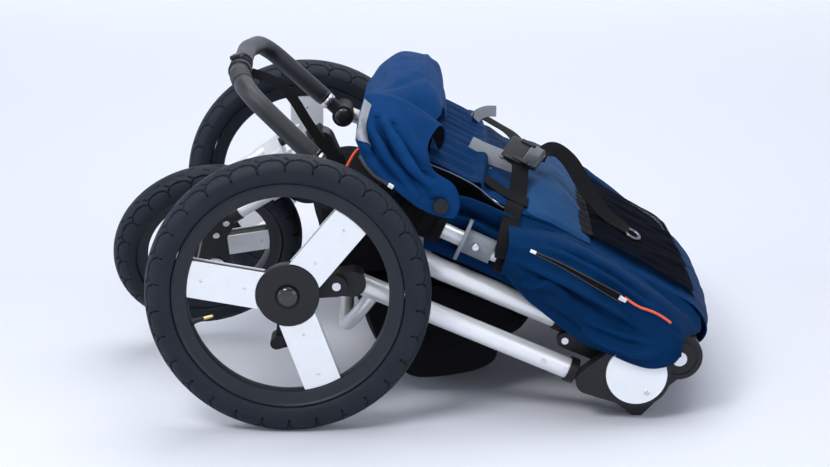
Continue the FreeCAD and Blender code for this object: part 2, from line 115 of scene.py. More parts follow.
# ---------------------------------------------------------------- materials
WAVE_SCALE = 0.314159  # a wave texture of this scale repeats once in a metre


def node(tree, kind, **values):
    n = tree.nodes.new(kind)
    for key, value in values.items():
        if key.startswith("in_"):
            n.inputs[key[3:].replace("_", " ")].default_value = value
        else:
            setattr(n, key, value)
    return n


def material(name, colour, rough, metallic=0.0, tint=0.15, tint_scale=40.0, grain=(900.0, 0.05, 0.0003),
             rough_spread=0.12, sheen=0.0, coat=0.0, pattern=None, uv=False, specular=0.5, dust=0.0,
             gleam=(1, 1, 1)):
    """A Principled material: mottled colour, uneven roughness, fine grain, and an optional woven or ribbed pattern.

    pattern lists (direction, period in metres, height in metres, share of colour darkened between threads).
    """
    m = bpy.data.materials.new(name)
    m.use_nodes = True
    t = m.node_tree
    link = t.links.new
    shader = t.nodes["Principled BSDF"]
    shader.inputs["Metallic"].default_value = metallic
    shader.inputs["Specular IOR Level"].default_value = specular
    shader.inputs["Specular Tint"].default_value = (*gleam, 1)
    shader.inputs["Sheen Weight"].default_value = sheen
    shader.inputs["Sheen Roughness"].default_value = 0.45
    shader.inputs["Coat Weight"].default_value = coat
    shader.inputs["Coat Roughness"].default_value = 0.12
    place = node(t, "ShaderNodeTexCoord").outputs["UV" if uv else "Object"]
    mottle = node(t, "ShaderNodeTexNoise", in_Scale=tint_scale, in_Detail=5.0, in_Roughness=0.62)
    link(place, mottle.inputs["Vector"])
    ramp = t.nodes.new("ShaderNodeValToRGB")
    ramp.color_ramp.elements[0].position = 0.28
    ramp.color_ramp.elements[1].position = 0.74
    ramp.color_ramp.elements[0].color = [c * (1 - tint) for c in colour] + [1]
    ramp.color_ramp.elements[1].color = [min(1.0, c * (1 + tint) + dust) for c in colour] + [1]
    link(mottle.outputs["Fac"], ramp.inputs["Fac"])
    shade = ramp.outputs["Color"]
    spread = node(t, "ShaderNodeMapRange", in_To_Min=rough - rough_spread, in_To_Max=rough + rough_spread)
    link(mottle.outputs["Fac"], spread.inputs["Value"])
    link(spread.outputs["Result"], shader.inputs["Roughness"])
    fine = node(t, "ShaderNodeTexNoise", in_Scale=grain[0], in_Detail=3.0)
    link(place, fine.inputs["Vector"])
    bump = node(t, "ShaderNodeBump", in_Strength=grain[1] * 10, in_Distance=grain[2])
    link(fine.outputs["Fac"], bump.inputs["Height"])
    normal = bump.outputs["Normal"]
    for direction, period, height, dark in pattern or []:
        wave = node(t, "ShaderNodeTexWave", bands_direction=direction, in_Scale=WAVE_SCALE / period,
                    in_Distortion=0.25, in_Detail=1.0)
        link(place, wave.inputs["Vector"])
        rib = node(t, "ShaderNodeBump", in_Strength=1.0, in_Distance=height)
        link(wave.outputs["Fac"], rib.inputs["Height"])
        link(normal, rib.inputs["Normal"])
        normal = rib.outputs["Normal"]
        if dark:
            mix = node(t, "ShaderNodeMix", data_type="RGBA", blend_type="MULTIPLY")
            mix.inputs["Factor"].default_value = dark
            link(shade, mix.inputs["A"])
            link(wave.outputs["Color"], mix.inputs["B"])
            shade = mix.outputs["Result"]
    link(shade, shader.inputs["Base Color"])
    link(normal, shader.inputs["Normal"])
    return m


WOVEN = dict(tint_scale=9, uv=True, grain=(160, 0.05, 0.0012),
             pattern=[("X", 0.0011, 0.00016, 0.12), ("Y", 0.0011, 0.00016, 0.12)])
FINISHES = {
    # the tyre's blue tint is a painted reflection of the pale blue studio light; the rubber itself is black
    "tyre": dict(colour=(0.0045, 0.0085, 0.0165), rough=0.56, specular=0.26, tint=0.25, tint_scale=14,
        grain=(1500, 0.06, 0.0004), dust=0.004),
    "rim_black": dict(colour=(0.008, 0.011, 0.017), rough=0.42, specular=0.35, tint=0.15,
        grain=(2200, 0.03, 0.0002)),
    "spoke_silver": dict(colour=(0.74, 0.76, 0.79), rough=0.42, metallic=0.25, tint=0.03,
        grain=(1600, 0.015, 0.0002), rough_spread=0.05),
    "frame_silver": dict(colour=(0.80, 0.81, 0.83), rough=0.34, metallic=0.45, tint=0.025, tint_scale=60,
        grain=(2600, 0.02, 0.0002), rough_spread=0.05),
    "hub_black": dict(colour=(0.006, 0.007, 0.010), rough=0.42, specular=0.35, tint=0.2,
        grain=(2400, 0.05, 0.0003)),
    "hub_gloss": dict(colour=(0.014, 0.014, 0.017), rough=0.22, tint=0.2, grain=(2400, 0.01, 0.0002),
        rough_spread=0.05, coat=0.4),
    "hub_white": dict(colour=(0.76, 0.78, 0.81), rough=0.34, tint=0.02, grain=(1800, 0.015, 0.0002),
        rough_spread=0.05),
    "slider_grey": dict(colour=(0.16, 0.18, 0.21), rough=0.48, tint=0.1, grain=(2200, 0.05, 0.0003)),
    "grip_foam": dict(colour=(0.007, 0.009, 0.014), rough=0.42, specular=0.55, tint=0.22, tint_scale=90,
        grain=(1300, 0.08, 0.0005)),
    "steel": dict(colour=(0.70, 0.71, 0.73), rough=0.28, metallic=1.0, tint=0.08, grain=(2600, 0.03, 0.0002)),
    "buckle_black": dict(colour=(0.006, 0.008, 0.011), rough=0.40, specular=0.3, tint=0.2,
        grain=(2400, 0.03, 0.0002)),
    "reflector": dict(colour=(0.24, 0.26, 0.30), rough=0.36, metallic=0.35, tint=0.18, tint_scale=60, uv=True,
        pattern=[("X", 0.0024, 0.0002, 0.2), ("Y", 0.0024, 0.0002, 0.2)]),
    "gunmetal": dict(colour=(0.16, 0.17, 0.19), rough=0.3, metallic=0.9, tint=0.1, grain=(2600, 0.03, 0.0002)),
    "brass": dict(colour=(0.62, 0.42, 0.20), rough=0.32, metallic=1.0, tint=0.1, grain=(2600, 0.03, 0.0002)),
    "fabric_blue": dict(colour=(0.0032, 0.027, 0.092), rough=0.60, tint=0.22, specular=0.05,
        gleam=(0.08, 0.42, 0.95), **WOVEN),
    "fabric_canopy": dict(colour=(0.0058, 0.043, 0.150), rough=0.58, tint=0.20, specular=0.05,
        gleam=(0.08, 0.45, 1.0), **WOVEN),
    "fabric_light": dict(colour=(0.014, 0.058, 0.152), rough=0.60, tint=0.18, specular=0.06,
        gleam=(0.2, 0.5, 1.0), **WOVEN),
    "fabric_black": dict(colour=(0.004, 0.004, 0.006), rough=0.75, tint=0.3, tint_scale=12, specular=0.12,
        uv=True, grain=(160, 0.05, 0.001), pattern=[("X", 0.0012, 0.0002, 0.3), ("Y", 0.0012, 0.0002, 0.3)]),
    "webbing_black": dict(colour=(0.006, 0.006, 0.008), rough=0.75, tint=0.2, specular=0.12, uv=True,
        pattern=[("X", 0.0016, 0.0004, 0.35), ("Y", 0.0026, 0.0002, 0.15)]),
    "webbing_grey": dict(colour=(0.30, 0.32, 0.35), rough=0.42, tint=0.1, uv=True, metallic=0.2,
        pattern=[("X", 0.0016, 0.0003, 0.25), ("Y", 0.0026, 0.0002, 0.1)]),
    "piping_grey": dict(colour=(0.10, 0.12, 0.17), rough=0.5, tint=0.1, grain=(1600, 0.1, 0.0004)),
    "cord_orange": dict(colour=(0.90, 0.10, 0.025), rough=0.6, tint=0.12, sheen=0.2,
        pattern=[("DIAGONAL", 0.0016, 0.0004, 0.25)]),
    # the buckle plug's lighter teal-black is a painted highlight; its coat and low roughness give real gloss
    "buckle_painted_highlight": dict(colour=(0.018, 0.028, 0.034), rough=0.26, tint=0.2, grain=(2400, 0.01, 0.0002),
        rough_spread=0.05, coat=0.3),
    "zip_teeth": dict(colour=(0.05, 0.05, 0.055), rough=0.35, pattern=[("X", 0.0022, 0.0008, 0.3)]),
}
M = {name: material(name, **finish) for name, finish in FINISHES.items()}


def net(name, colour, period, hole):
    """Knitted net: threads in two directions with open holes between them."""
    m = material(name, colour, 0.85, tint=0.3, tint_scale=14, specular=0.02, uv=True, grain=(900, 0.08, 0.0004))
    t = m.node_tree
    link = t.links.new
    place = node(t, "ShaderNodeTexCoord").outputs["UV"]
    turned = node(t, "ShaderNodeMapping")
    turned.inputs["Rotation"].default_value = (0, 0, math.radians(45))
    link(place, turned.inputs["Vector"])
    waves = []
    for direction in ("X", "Y"):
        wave = node(t, "ShaderNodeTexWave", bands_direction=direction, in_Scale=WAVE_SCALE / period)
        link(turned.outputs["Vector"], wave.inputs["Vector"])
        waves.append(wave)
    both = node(t, "ShaderNodeMath", operation="MAXIMUM")
    link(waves[0].outputs["Fac"], both.inputs[0])
    link(waves[1].outputs["Fac"], both.inputs[1])
    solid = node(t, "ShaderNodeMath", operation="GREATER_THAN")
    link(both.outputs["Value"], solid.inputs[0])
    solid.inputs[1].default_value = hole
    link(solid.outputs["Value"], t.nodes["Principled BSDF"].inputs["Alpha"])
    return m


M["net"] = net("net", (0.0035, 0.0045, 0.008), 0.0022, 0.60)


# ---------------------------------------------------------------- mesh helpers
def finished(name, mesh, mat, body, sharp):
    """Shade a mesh smooth between its sharp edges and let its object ride on a body."""
    mesh.materials.append(M[mat])
    for polygon in mesh.polygons:
        polygon.use_smooth = True
    mesh.set_sharp_from_angle(angle=math.radians(sharp))
    ob = bpy.data.objects.new(name, mesh)
    LINK(ob)
    if body:
        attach(ob, body)
    return ob


def piece(name, verts, faces, mat, body, sharp=35.0, uv=None):
    """A mesh piece in the row frame that rides on a body."""
    mesh = bpy.data.meshes.new(name)
    mesh.from_pydata([tuple(v) for v in verts], [], [tuple(int(i) for i in f) for f in faces])
    mesh.validate()
    if uv is not None:
        layer = mesh.uv_layers.new(name="UVMap")
        corner = np.empty(len(mesh.loops), int)
        mesh.loops.foreach_get("vertex_index", corner)
        layer.data.foreach_set("uv", np.asarray(uv, np.float32)[corner].ravel())
    return finished(name, mesh, mat, body, sharp)


def grid_faces(rows, cols, close_rows=False, close_cols=False):
    faces = []
    for i in range(rows if close_rows else rows - 1):
        for j in range(cols if close_cols else cols - 1):
            a, b = i * cols + j, i * cols + (j + 1) % cols
            c, d = ((i + 1) % rows) * cols + (j + 1) % cols, ((i + 1) % rows) * cols + j
            faces.append((a, b, c, d))
    return faces


def lathe(name, profile, place, mat, body, steps=120, sharp=30.0, closed=True):
    """A turned piece: a profile of (radius, y) in metres about the local Y axis, put where place says.

    closed joins the last point of the profile to the first.
    """
    verts = []
    for k in range(steps):
        a = 2 * math.pi * k / steps
        verts += [place @ Vector((r * math.cos(a), y, r * math.sin(a))) for r, y in profile]
    return piece(name, verts, grid_faces(steps, len(profile), True, closed), mat, body, sharp)


def catmull(points, count):
    """count points evenly spaced along a smooth curve through the given points."""
    p = np.array([tuple(q) for q in points], float)
    p = np.vstack([2 * p[0] - p[1], p, 2 * p[-1] - p[-2]])
    dense = []
    for i in range(1, len(p) - 2):
        for t in np.linspace(0, 1, 24, endpoint=False):
            a, b, c, d = p[i - 1:i + 3]
            dense.append(0.5 * (2 * b + (c - a) * t + (2 * a - 5 * b + 4 * c - d) * t ** 2
                                + (3 * b - a - 3 * c + d) * t ** 3))
    dense.append(p[-2])
    dense = np.array(dense)
    along = np.concatenate([[0], np.cumsum(np.linalg.norm(np.diff(dense, axis=0), axis=1))])
    want = np.linspace(0, along[-1], count)
    return np.stack([np.interp(want, along, dense[:, k]) for k in range(3)], 1)


def surface(rails, nu, nv):
    """A smooth grid through rails (each a list of points): nu points along them, nv across."""
    along = np.array([catmull(rail, nu) for rail in rails])
    return np.array([catmull(along[:, i], nv) for i in range(nu)])


def normals(g):
    du = np.gradient(g, axis=0)
    dv = np.gradient(g, axis=1)
    n = np.cross(du, dv)
    return n / np.maximum(np.linalg.norm(n, axis=2, keepdims=True), 1e-12)


def ripple(g, scale, height, seed, stretch=(1, 1, 1)):
    """Soft creases: smooth noise along each point's normal."""
    n = normals(g)
    out = g.copy()
    for i in range(g.shape[0]):
        for j in range(g.shape[1]):
            q = Vector(g[i, j] * np.array(stretch)) * scale + Vector((seed, seed * 0.7, seed * 1.3))
            v = noise.noise(q) + 0.5 * noise.noise(q * 2.1)
            out[i, j] = g[i, j] + n[i, j] * v * height
    return out


def cloth(name, g, mat, body, thick=0.0016, sharp=60.0, shade_inside=None):
    """A sheet with two faces and closed edges from a grid of points; the last argument is its inner face's material,
    a dark one that paints the shade inside the sheet.
    """
    nu, nv = g.shape[:2]
    n = normals(g) * thick / 2
    u = np.concatenate([[0], np.cumsum(np.linalg.norm(np.diff(g, axis=0), axis=2).mean(1))])
    v = np.concatenate([[0], np.cumsum(np.linalg.norm(np.diff(g, axis=1), axis=2).mean(0))])
    uv = np.stack(np.meshgrid(u, v, indexing="ij"), 2).reshape(-1, 2)
    verts = np.concatenate([(g + n).reshape(-1, 3), (g - n).reshape(-1, 3)])
    top = grid_faces(nu, nv)
    count = nu * nv
    faces = [tuple(f) for f in top] + [tuple(count + i for i in reversed(f)) for f in top]
    rim = [j for j in range(nv)] + [i * nv + nv - 1 for i in range(1, nu)]
    rim += [(nu - 1) * nv + j for j in range(nv - 2, -1, -1)] + [i * nv for i in range(nu - 2, 0, -1)]
    for a, b in zip(rim, rim[1:] + rim[:1]):
        faces.append((b, a, count + a, count + b))
    ob = piece(name, verts, faces, mat, body, sharp, np.concatenate([uv, uv]))
    if shade_inside:
        ob.data.materials.append(M[shade_inside])
        outward = ((g - g.reshape(-1, 3).mean(0)) * n).sum() > 0
        inner = range(len(top), 2 * len(top)) if outward else range(len(top))
        index = np.zeros(len(ob.data.polygons), np.int32)
        index[list(inner)] = 1
        ob.data.polygons.foreach_set("material_index", index)
    return ob


def tube_mesh(name, path, radius, mat, body, sides=20, sharp=60.0):
    """A round tube along points; radius is a number or one number for each point."""
    p = np.asarray([tuple(q) for q in path], float)
    r = np.full(len(p), radius, float) if np.isscalar(radius) else np.asarray(radius, float)
    t = np.gradient(p, axis=0)
    t /= np.linalg.norm(t, axis=1, keepdims=True)
    up = np.array([0.0, 0.0, 1.0]) if abs(t[0][2]) < 0.9 else np.array([1.0, 0, 0])
    verts = []
    uv = []
    s = 0.0
    side = np.cross(t[0], up)
    for k in range(len(p)):
        side = side - t[k] * np.dot(side, t[k])
        side /= np.linalg.norm(side)
        top = np.cross(side, t[k])
        if k:
            s += np.linalg.norm(p[k] - p[k - 1])
        for i in range(sides):
            a = 2 * math.pi * i / sides
            verts.append(p[k] + r[k] * (math.cos(a) * side + math.sin(a) * top))
            uv.append((s, r[k] * a))
    faces = grid_faces(len(p), sides, False, True)
    faces += [tuple(range(sides - 1, -1, -1)), tuple((len(p) - 1) * sides + i for i in range(sides))]
    return piece(name, verts, faces, mat, body, sharp, uv)


def paint(mat, *names):
    """Give carried-over CAD nodes a material."""
    for name in names:
        ob = NODES[name]
        ob.data.materials.clear()
        ob.data.materials.append(M[mat])


# ---------------------------------------------------------------- wheels
def wheel_place(joint, turn):
    """The wheel's own frame: its centre, with local Y along the axle, turned as the fork is."""
    return Matrix.Translation(Vector(JOINTS[joint]["pos_m"])) @ turn.to_matrix().to_4x4()


def tyre_mesh(name, place, outer, section, seat, blocks, body):
    """An air tyre whose shoulders carry scalloped grooves with a short sipe between the arches."""
    per = 42
    low = math.asin((seat - (outer - section)) / section)
    phi = np.concatenate([np.linspace(low, 0, 7)[:-1], np.linspace(0, math.pi, 85),
                          np.linspace(math.pi, math.pi - low, 7)[1:]])
    pitch = 2 * math.pi * outer / blocks
    u = np.arange(per) / per
    depth = np.zeros((per, len(phi)))

    def groove(line, width, deep):
        """Cut a groove along points (share of a block, angle on the section) on both shoulders."""
        line = np.array(line)
        for mirror, offset in ((False, 0.0), (True, 0.5)):
            for wrap in (-1, 0, 1):
                x = (line[:, 0] + offset + wrap) * pitch
                y = (math.pi - line[:, 1] if mirror else line[:, 1]) * section
                px = u[:, None] * pitch
                py = phi[None, :] * section
                for k in range(len(x) - 1):
                    ex, ey = x[k + 1] - x[k], y[k + 1] - y[k]
                    s = np.clip(((px - x[k]) * ex + (py - y[k]) * ey) / (ex * ex + ey * ey), 0, 1)
                    d = np.hypot(px - x[k] - s * ex, py - y[k] - s * ey)
                    cut = deep * np.exp(-(d / width) ** 4)
                    np.maximum(depth, cut, out=depth)

    arch = [(0.5 - 0.5 * math.cos(math.pi * t), math.radians(10 + 44 * math.sin(math.pi * t) ** 0.62))
            for t in np.linspace(0, 1, 25)]
    groove(arch[:14], section * 0.050, 0.0030)
    groove(arch[13:], section * 0.044, 0.0026)
    groove([(0.46, math.radians(46)), (0.47, math.radians(58))], section * 0.044, 0.0024)
    groove([(0.86, math.radians(50)), (1.04, math.radians(64))], section * 0.044, 0.0024)
    groove([(0.20, math.radians(74)), (0.42, math.radians(82))], section * 0.046, 0.0024)
    shoulder = 0.0007 * (1 / (1 + np.exp(-(np.minimum(phi, math.pi - phi) - math.radians(7)) / 0.03)))
    steps = per * blocks
    angle = 2 * math.pi * np.arange(steps) / steps
    r_section = section - 0.0004 + shoulder[None, :] - np.tile(depth, (blocks, 1))
    radius = (outer - section) + r_section * np.sin(phi)[None, :]
    y = r_section * np.cos(phi)[None, :]
    local = np.stack([radius * np.cos(angle)[:, None], y, radius * np.sin(angle)[:, None]], 2).reshape(-1, 3)
    world = local @ np.array(place.to_3x3()).T + np.array(place.translation)
    return piece(name, world, grid_faces(steps, len(phi), True, True), "tyre", body, 80.0)


def spoke(name, place, angle, r0, r1, width, y0, y1, bevel, mat, body):
    """One flat spoke: ends follow the hub and the rim, edges are softened."""
    outline = []
    for r, order in ((r0, 1), (r1, -1)):
        half = math.asin(width / 2 / r)
        outline += [(r, order * half * (1 - 2 * k / 8)) for k in range(9)]
    outline = [(r * math.cos(a), r * math.sin(a)) for r, a in outline]
    centre = np.mean(outline, axis=0)
    cos_a, sin_a = math.cos(math.radians(angle)), math.sin(math.radians(angle))
    verts = []
    rings = [(y0, 1), (y0 + bevel, 0), (y1 - bevel, 0), (y1, 1)]
    for y, inset in rings:
        for x, z in outline:
            d = np.array((x, z)) - centre
            d = d / np.linalg.norm(d)
            x2, z2 = np.array((x, z)) - d * bevel * inset
            verts.append(place @ Vector((x2 * cos_a - z2 * sin_a, y, x2 * sin_a + z2 * cos_a)))
    n = len(outline)
    faces = grid_faces(len(rings), n, False, True)
    faces += [tuple(range(n)), tuple(3 * n + i for i in reversed(range(n)))]
    return piece(name, verts, faces, mat, body, 25.0)


def dome(name, place, radius, height, mat, body, steps):
    """A small round head on a face that looks along local Y."""
    profile = [(radius, 0), (radius, height * 0.45), (radius * 0.86, height * 0.8), (radius * 0.5, height * 0.97),
               (1e-5, height)]
    return lathe(name, profile, place, mat, body, steps, 60.0, False)


HAND = {1: "r", -1: "l"}


def build_wheel(body, turn, tyre, rim, width, cover, first, covers, blocks):
    """One wheel, in metres and degrees.

    tyre: its radius and section radius; rim: outer and inner radius; width: a spoke's; cover: the hub cover's radius;
    first: the first spoke's angle; covers: the sides that have a hub cover; blocks: how many tread blocks it has.
    """
    place = wheel_place(body + "_spin", turn)
    outer, section = tyre
    r_out, r_in = rim
    tyre_mesh(body + "_tyre_tread", place, outer, section, r_out + 0.0003, blocks, body)
    half, waist = section * 0.7, section * 0.49
    profile = [(r_out, half - 0.0012), (r_out - 0.0012, half), (r_out - 0.0030, half),
               (r_out - 0.0042, half - 0.0012), (r_out - 0.0075, half - 0.0021), (r_in + 0.003, waist + 0.0008),
               (r_in + 0.0008, waist - 0.0004), (r_in, waist - 0.003)]
    profile += [(r_in - 0.0004, 0)] + [(r, -y) for r, y in reversed(profile)]
    rim_bed = lathe(body + "_rim", profile, place, "rim_black", body, 180)
    hub_r = cover / 2
    core = 0.007
    plate_y = core + 0.002
    ends = {(1, -1): (-0.040, 0.040), (1,): (-0.026, 0.009), (-1,): (-0.009, 0.026)}[covers]
    bore = 0.0076 if len(covers) == 1 else 0.0052
    barrel = [(bore, ends[0]), (hub_r - 0.001, ends[0]), (hub_r, ends[0] + 0.001),
              (hub_r, -core), (cover - 0.001, -core), (cover, -core + 0.001), (cover, core - 0.001),
              (cover - 0.001, core), (hub_r, core), (hub_r, ends[1] - 0.001), (hub_r - 0.001, ends[1]),
              (bore, ends[1])]
    lathe(body + "_hub", barrel, place, "rim_black", body, 64)
    for k in range(3):
        a = first + 120 * k
        spoke(f"{body}_spoke_{k}", place, a, cover - 0.004, r_in + 0.001, width - 0.004, -core, core, 0.0008,
              "rim_black", body)
        for side in (1, -1):
            y0, y1 = sorted((side * core, side * plate_y))
            spoke(f"{body}_plate_{k}_{HAND[side]}", place, a, cover + 0.0008, r_in - 0.0004, width, y0, y1, 0.0006,
                  "spoke_silver", body)
            for share in (0.17, 0.80):
                r = cover + (r_in - cover) * share
                c = Vector((r * math.cos(math.radians(a)), side * plate_y, r * math.sin(math.radians(a))))
                dome(f"{body}_rivet_{k}_{HAND[side]}_{round(share * 100)}",
                     place @ Matrix.Translation(c) @ facing(side), 0.0022, 0.0009, "steel", body, 16)
    for side in covers:
        flip = place @ facing(side)
        cap_r = 0.34 * cover
        disc = [(cover - 0.0003, core), (cover, core + 0.0014), (cover - 0.0006, core + 0.0028),
                (cover * 0.80, core + 0.0048), (cover * 0.55, core + 0.0070), (cap_r + 0.0032, core + 0.0080),
                (cap_r + 0.0012, core + 0.0068), (cap_r, core + 0.0064), (cap_r, core)]
        lathe(f"{body}_cover_{HAND[side]}", disc, flip, "hub_black", body, 96, 50)
        cap = [(cap_r - 0.0004, core + 0.006), (cap_r - 0.0004, core + 0.0098), (cap_r * 0.93, core + 0.0112),
               (cap_r * 0.72, core + 0.0134), (cap_r * 0.4, core + 0.0146), (1e-5, core + 0.0150)]
        lathe(f"{body}_cap_{HAND[side]}", cap, flip, "hub_gloss", body, 64, 60, False)
    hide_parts(*[f"{body}_{n}" for n in ("tyre", "casting", "spoke_plates", "hub_covers")])
    # air valve: a rubber stem through the rim bed with a brass tip
    a = math.radians(first + {(-1,): 147, (1,): 180}.get(covers, 60))
    inward = Matrix.Translation(Vector((r_in * math.cos(a), 0, r_in * math.sin(a))))
    stem = place @ inward @ Matrix.Rotation(-a, 4, "Y") @ Matrix.Rotation(math.pi / 2, 4, "Z")
    rubber = [(0.0048, -0.001), (0.0046, 0.003), (0.0036, 0.006), (0.0033, 0.017), (0.0028, 0.018), (1e-5, 0.018)]
    lathe(body + "_valve_stem", rubber, stem, "hub_black", body, 24, 40, False)
    tip = [(0.0026, 0.017), (0.0026, 0.025), (0.0022, 0.027), (0.0022, 0.031), (1e-5, 0.0315)]
    lathe(body + "_valve_tip", tip, stem, "brass", body, 24, 40, False)


straight = Matrix.Identity(3).to_quaternion()
swivel = Matrix.Rotation(math.radians(25.5), 3, Vector(JOINTS["fork_swivel"]["axis"])).to_quaternion()
REAR_SIZES = ((0.198, 0.0235), (0.161, 0.140), 0.053, 0.044)
FRONT_SIZES = ((0.1456, 0.022), (0.113, 0.094), 0.036, 0.027)
build_wheel("rear_wheel_left", straight, *REAR_SIZES, 50, (-1,), 30)
build_wheel("rear_wheel_right", straight, *REAR_SIZES, 90, (1,), 30)
build_wheel("front_wheel", swivel, *FRONT_SIZES, 3, (1, -1), 23)

# ---------------------------------------------------------------- carried-over CAD nodes
paint("frame_silver", "front_leg_left", "front_leg_right", "rear_leg_left", "rear_leg_right", "handle_tube_left",
      "handle_tube_right", "rear_cross_tube", "frame_bars", "fork_crown", "fork_blades", "head_tube")
paint("hub_black", "hub_housing_left", "hub_housing_right", "head_housing", "rear_knuckles", "leg_brackets",
      "handle_knuckles", "handle_joints", "handlebar_ends", "fork_dropouts", "brake_pedal", "swivel_lock_knob",
      "canopy_bow", "canopy_pivots", "tube_collars", "suspension_arm_left", "suspension_arm_right")
paint("steel", "pivot_hardware", "rear_fasteners", "front_axle")
paint("gunmetal", "strap_hardware")
paint("hub_white", "hub_discs")
paint("slider_grey", "fold_slider_left", "fold_slider_right")
paint("grip_foam", "handlebar_grip")

# ---------------------------------------------------------------- fabric of the folded seat
SLOPE = [(60, 0, 342), (90, 0, 325), (136, 0, 291), (167, 0, 278), (210, 0, 259), (246, 0, 239), (296, 0, 209),
         (347, 0, 179)]
EDGE = catmull([(20, 0, 362), *SLOPE, (398, 0, 149), (420, 0, 124)], 160)


def smooth(lo, hi, x):
    t = np.clip((np.asarray(x, float) - lo) / (hi - lo), 0, 1)
    return t * t * (3 - 2 * t)


def swelling(x, y):
    """How far in millimetres the seat back rises over the straight line between its sides."""
    crown = 25 - 9 * smooth(190, 260, x)
    return crown * (1 - np.clip(np.abs(y) / 240, 0, 1) ** 2.3) - 7 * smooth(90, 200, y) * smooth(230, 290, x)


def back(x, y, lift=0.0):
    """Height in millimetres of the folded seat back's upper face."""
    return np.interp(x, EDGE[:, 0], EDGE[:, 2]) + swelling(x, y) + lift


def mirror(g):
    """The same grid on the other side of the stroller, still facing outwards."""
    return g[:, ::-1] * np.array((1, -1, 1))


def crease(g, line, depth, width):
    """Press a soft valley (or with negative depth raise a ridge) along a line of drawing points."""
    count = 60
    c = catmull([P(*q) for q in line], count)
    n = normals(g)
    flat = g.reshape(-1, 3)
    c = flat[np.argmin(np.linalg.norm(flat[None, :, :] - c[:, None, :], axis=2), axis=1)]
    c = np.array([c[max(0, k - 3):k + 4].mean(0) for k in range(count)])
    d = np.full(len(flat), 1e9)
    along = np.zeros(len(flat))
    for k, (a, b) in enumerate(zip(c[:-1], c[1:])):
        e = b - a
        s = np.clip((flat - a) @ e / max(e @ e, 1e-12), 0, 1)
        r = np.linalg.norm(flat - a - s[:, None] * e, axis=1)
        along = np.where(r < d, (k + s) / (count - 1), along)
        d = np.minimum(d, r)
    fade = np.clip(np.sin(np.pi * along), 0, 1) ** 1.1
    cut = (depth * fade * np.exp(-(d / width) ** 2)).reshape(g.shape[:2])
    return g - n * cut[:, :, None]


def M3(rows):
    return [[P(*p) for p in row] for row in rows]


def ribbon(name, path, across, width, mat="webbing_black", body="handle_frame", thick=0.0018, nv=7, bow=0.0):
    """A flat strap along a path; across is the direction of its width, one for all or one for each point.

    bow lifts the middle of the strap over its edges.
    """
    across = [across] * len(path) if isinstance(across, Vector) else [Vector(q) for q in across]
    c = catmull(path, 10 * len(path))
    w = catmull(across, 10 * len(path))
    t = np.gradient(c, axis=0)
    w = w - t * ((w * t).sum(1) / (t * t).sum(1))[:, None]
    w /= np.linalg.norm(w, axis=1, keepdims=True)
    t /= np.linalg.norm(t, axis=1, keepdims=True)
    n = np.cross(t, w)
    v = np.linspace(-0.5, 0.5, nv)
    width = np.broadcast_to(width, len(c))[:, None, None]
    rise = (bow * (1 - 4 * v * v))[None, :, None]
    g = c[:, None, :] + w[:, None, :] * (v[None, :, None] * width) + n[:, None, :] * rise
    return cloth(name, g, mat, body, thick, 50.0)


def block(name, centre, size, axes, bevel, mat, body, taper=1.0):
    """A bevelled block; axes are its long, wide and thick directions, taper narrows its forward end."""
    x, y, z = (Vector(a).normalized() for a in axes)
    y = (y - x * y.dot(x)).normalized()
    z = x.cross(y)
    bm = bmesh.new()
    bmesh.ops.create_cube(bm, size=1.0)
    for v in bm.verts:
        k = taper if v.co.x > 0 else 1.0
        v.co = Vector((v.co.x * size[0], v.co.y * size[1] * k, v.co.z * size[2] * k))
    bmesh.ops.bevel(bm, geom=bm.edges[:], offset=bevel, segments=3, profile=0.6, affect="EDGES")
    for v in bm.verts:
        v.co = Vector(centre) + x * v.co.x + y * v.co.y + z * v.co.z
    mesh = bpy.data.meshes.new(name)
    bm.to_mesh(mesh)
    bm.free()
    return finished(name, mesh, mat, body, 40)


# upper face: pleated at the canopy end, then smooth, rolled over at the hub end
profile = catmull([(22, 0, 361), *SLOPE, (396, 0, 151), (415, 0, 131), (421, 0, 112), (413, 0, 97), (396, 0, 96)],
                  230)
t = np.gradient(profile, axis=0)
t /= np.linalg.norm(t, axis=1, keepdims=True)
out = np.stack([-t[:, 2], np.zeros(len(t)), t[:, 0]], 1)
ys = np.linspace(-229, 229, 150)
g = np.zeros((len(profile), len(ys), 3))
for j, y in enumerate(ys):
    crown = swelling(profile[:, 0], y)
    pleat = 2.0 * np.sin(2 * np.pi * y / 33) * (1 - smooth(78, 88, profile[:, 0]))
    strands = 0.7 * np.sin(2 * np.pi * (y + 0.25 * profile[:, 0]) / 47) * smooth(96, 110, profile[:, 0])
    ridge = 7.0 * np.exp(-((profile[:, 0] - 92) / 6.0) ** 2)
    dip = -5.0 * np.exp(-((profile[:, 0] - 104) / 7.0) ** 2)
    g[:, j] = profile + out * (crown + pleat + strands + ridge + dip)[:, None]
    g[:, j, 1] = y
g = metres(g)
g = ripple(g[:, ::-1], 16, 0.0018, 3.0, (0.55, 1.6, 1))
seat_top = cloth("seat_back_cover", g, "fabric_blue", "handle_frame", 0.002)
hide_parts("seat_back")

# quilted panel in a lighter blue, between the straps and the net pocket
nx, ny = 70, 120
xs = np.linspace(164, 252, nx)
ys = np.linspace(-226, 214, ny)
g = np.zeros((nx, ny, 3))
for i, x in enumerate(xs):
    arch = np.sin(np.pi * i / (nx - 1.0))
    swell = 14.0 * (arch ** 0.55) * np.sin(np.pi * np.arange(ny) / (ny - 1.0)) ** 0.22
    swell += 0.8 * np.sin(2 * np.pi * (ys * 0.7 + x * 0.9) / 58) * arch
    g[i, :, 0], g[i, :, 1] = x, ys
    g[i, :, 2] = back(x, ys, 1.5) + swell
top = metres(g)
top = ripple(top[:, ::-1], 20, 0.0024, 8.0, (0.8, 1.3, 1))
panel = cloth("seat_back_panel", top, "fabric_light", "handle_frame", 0.003)

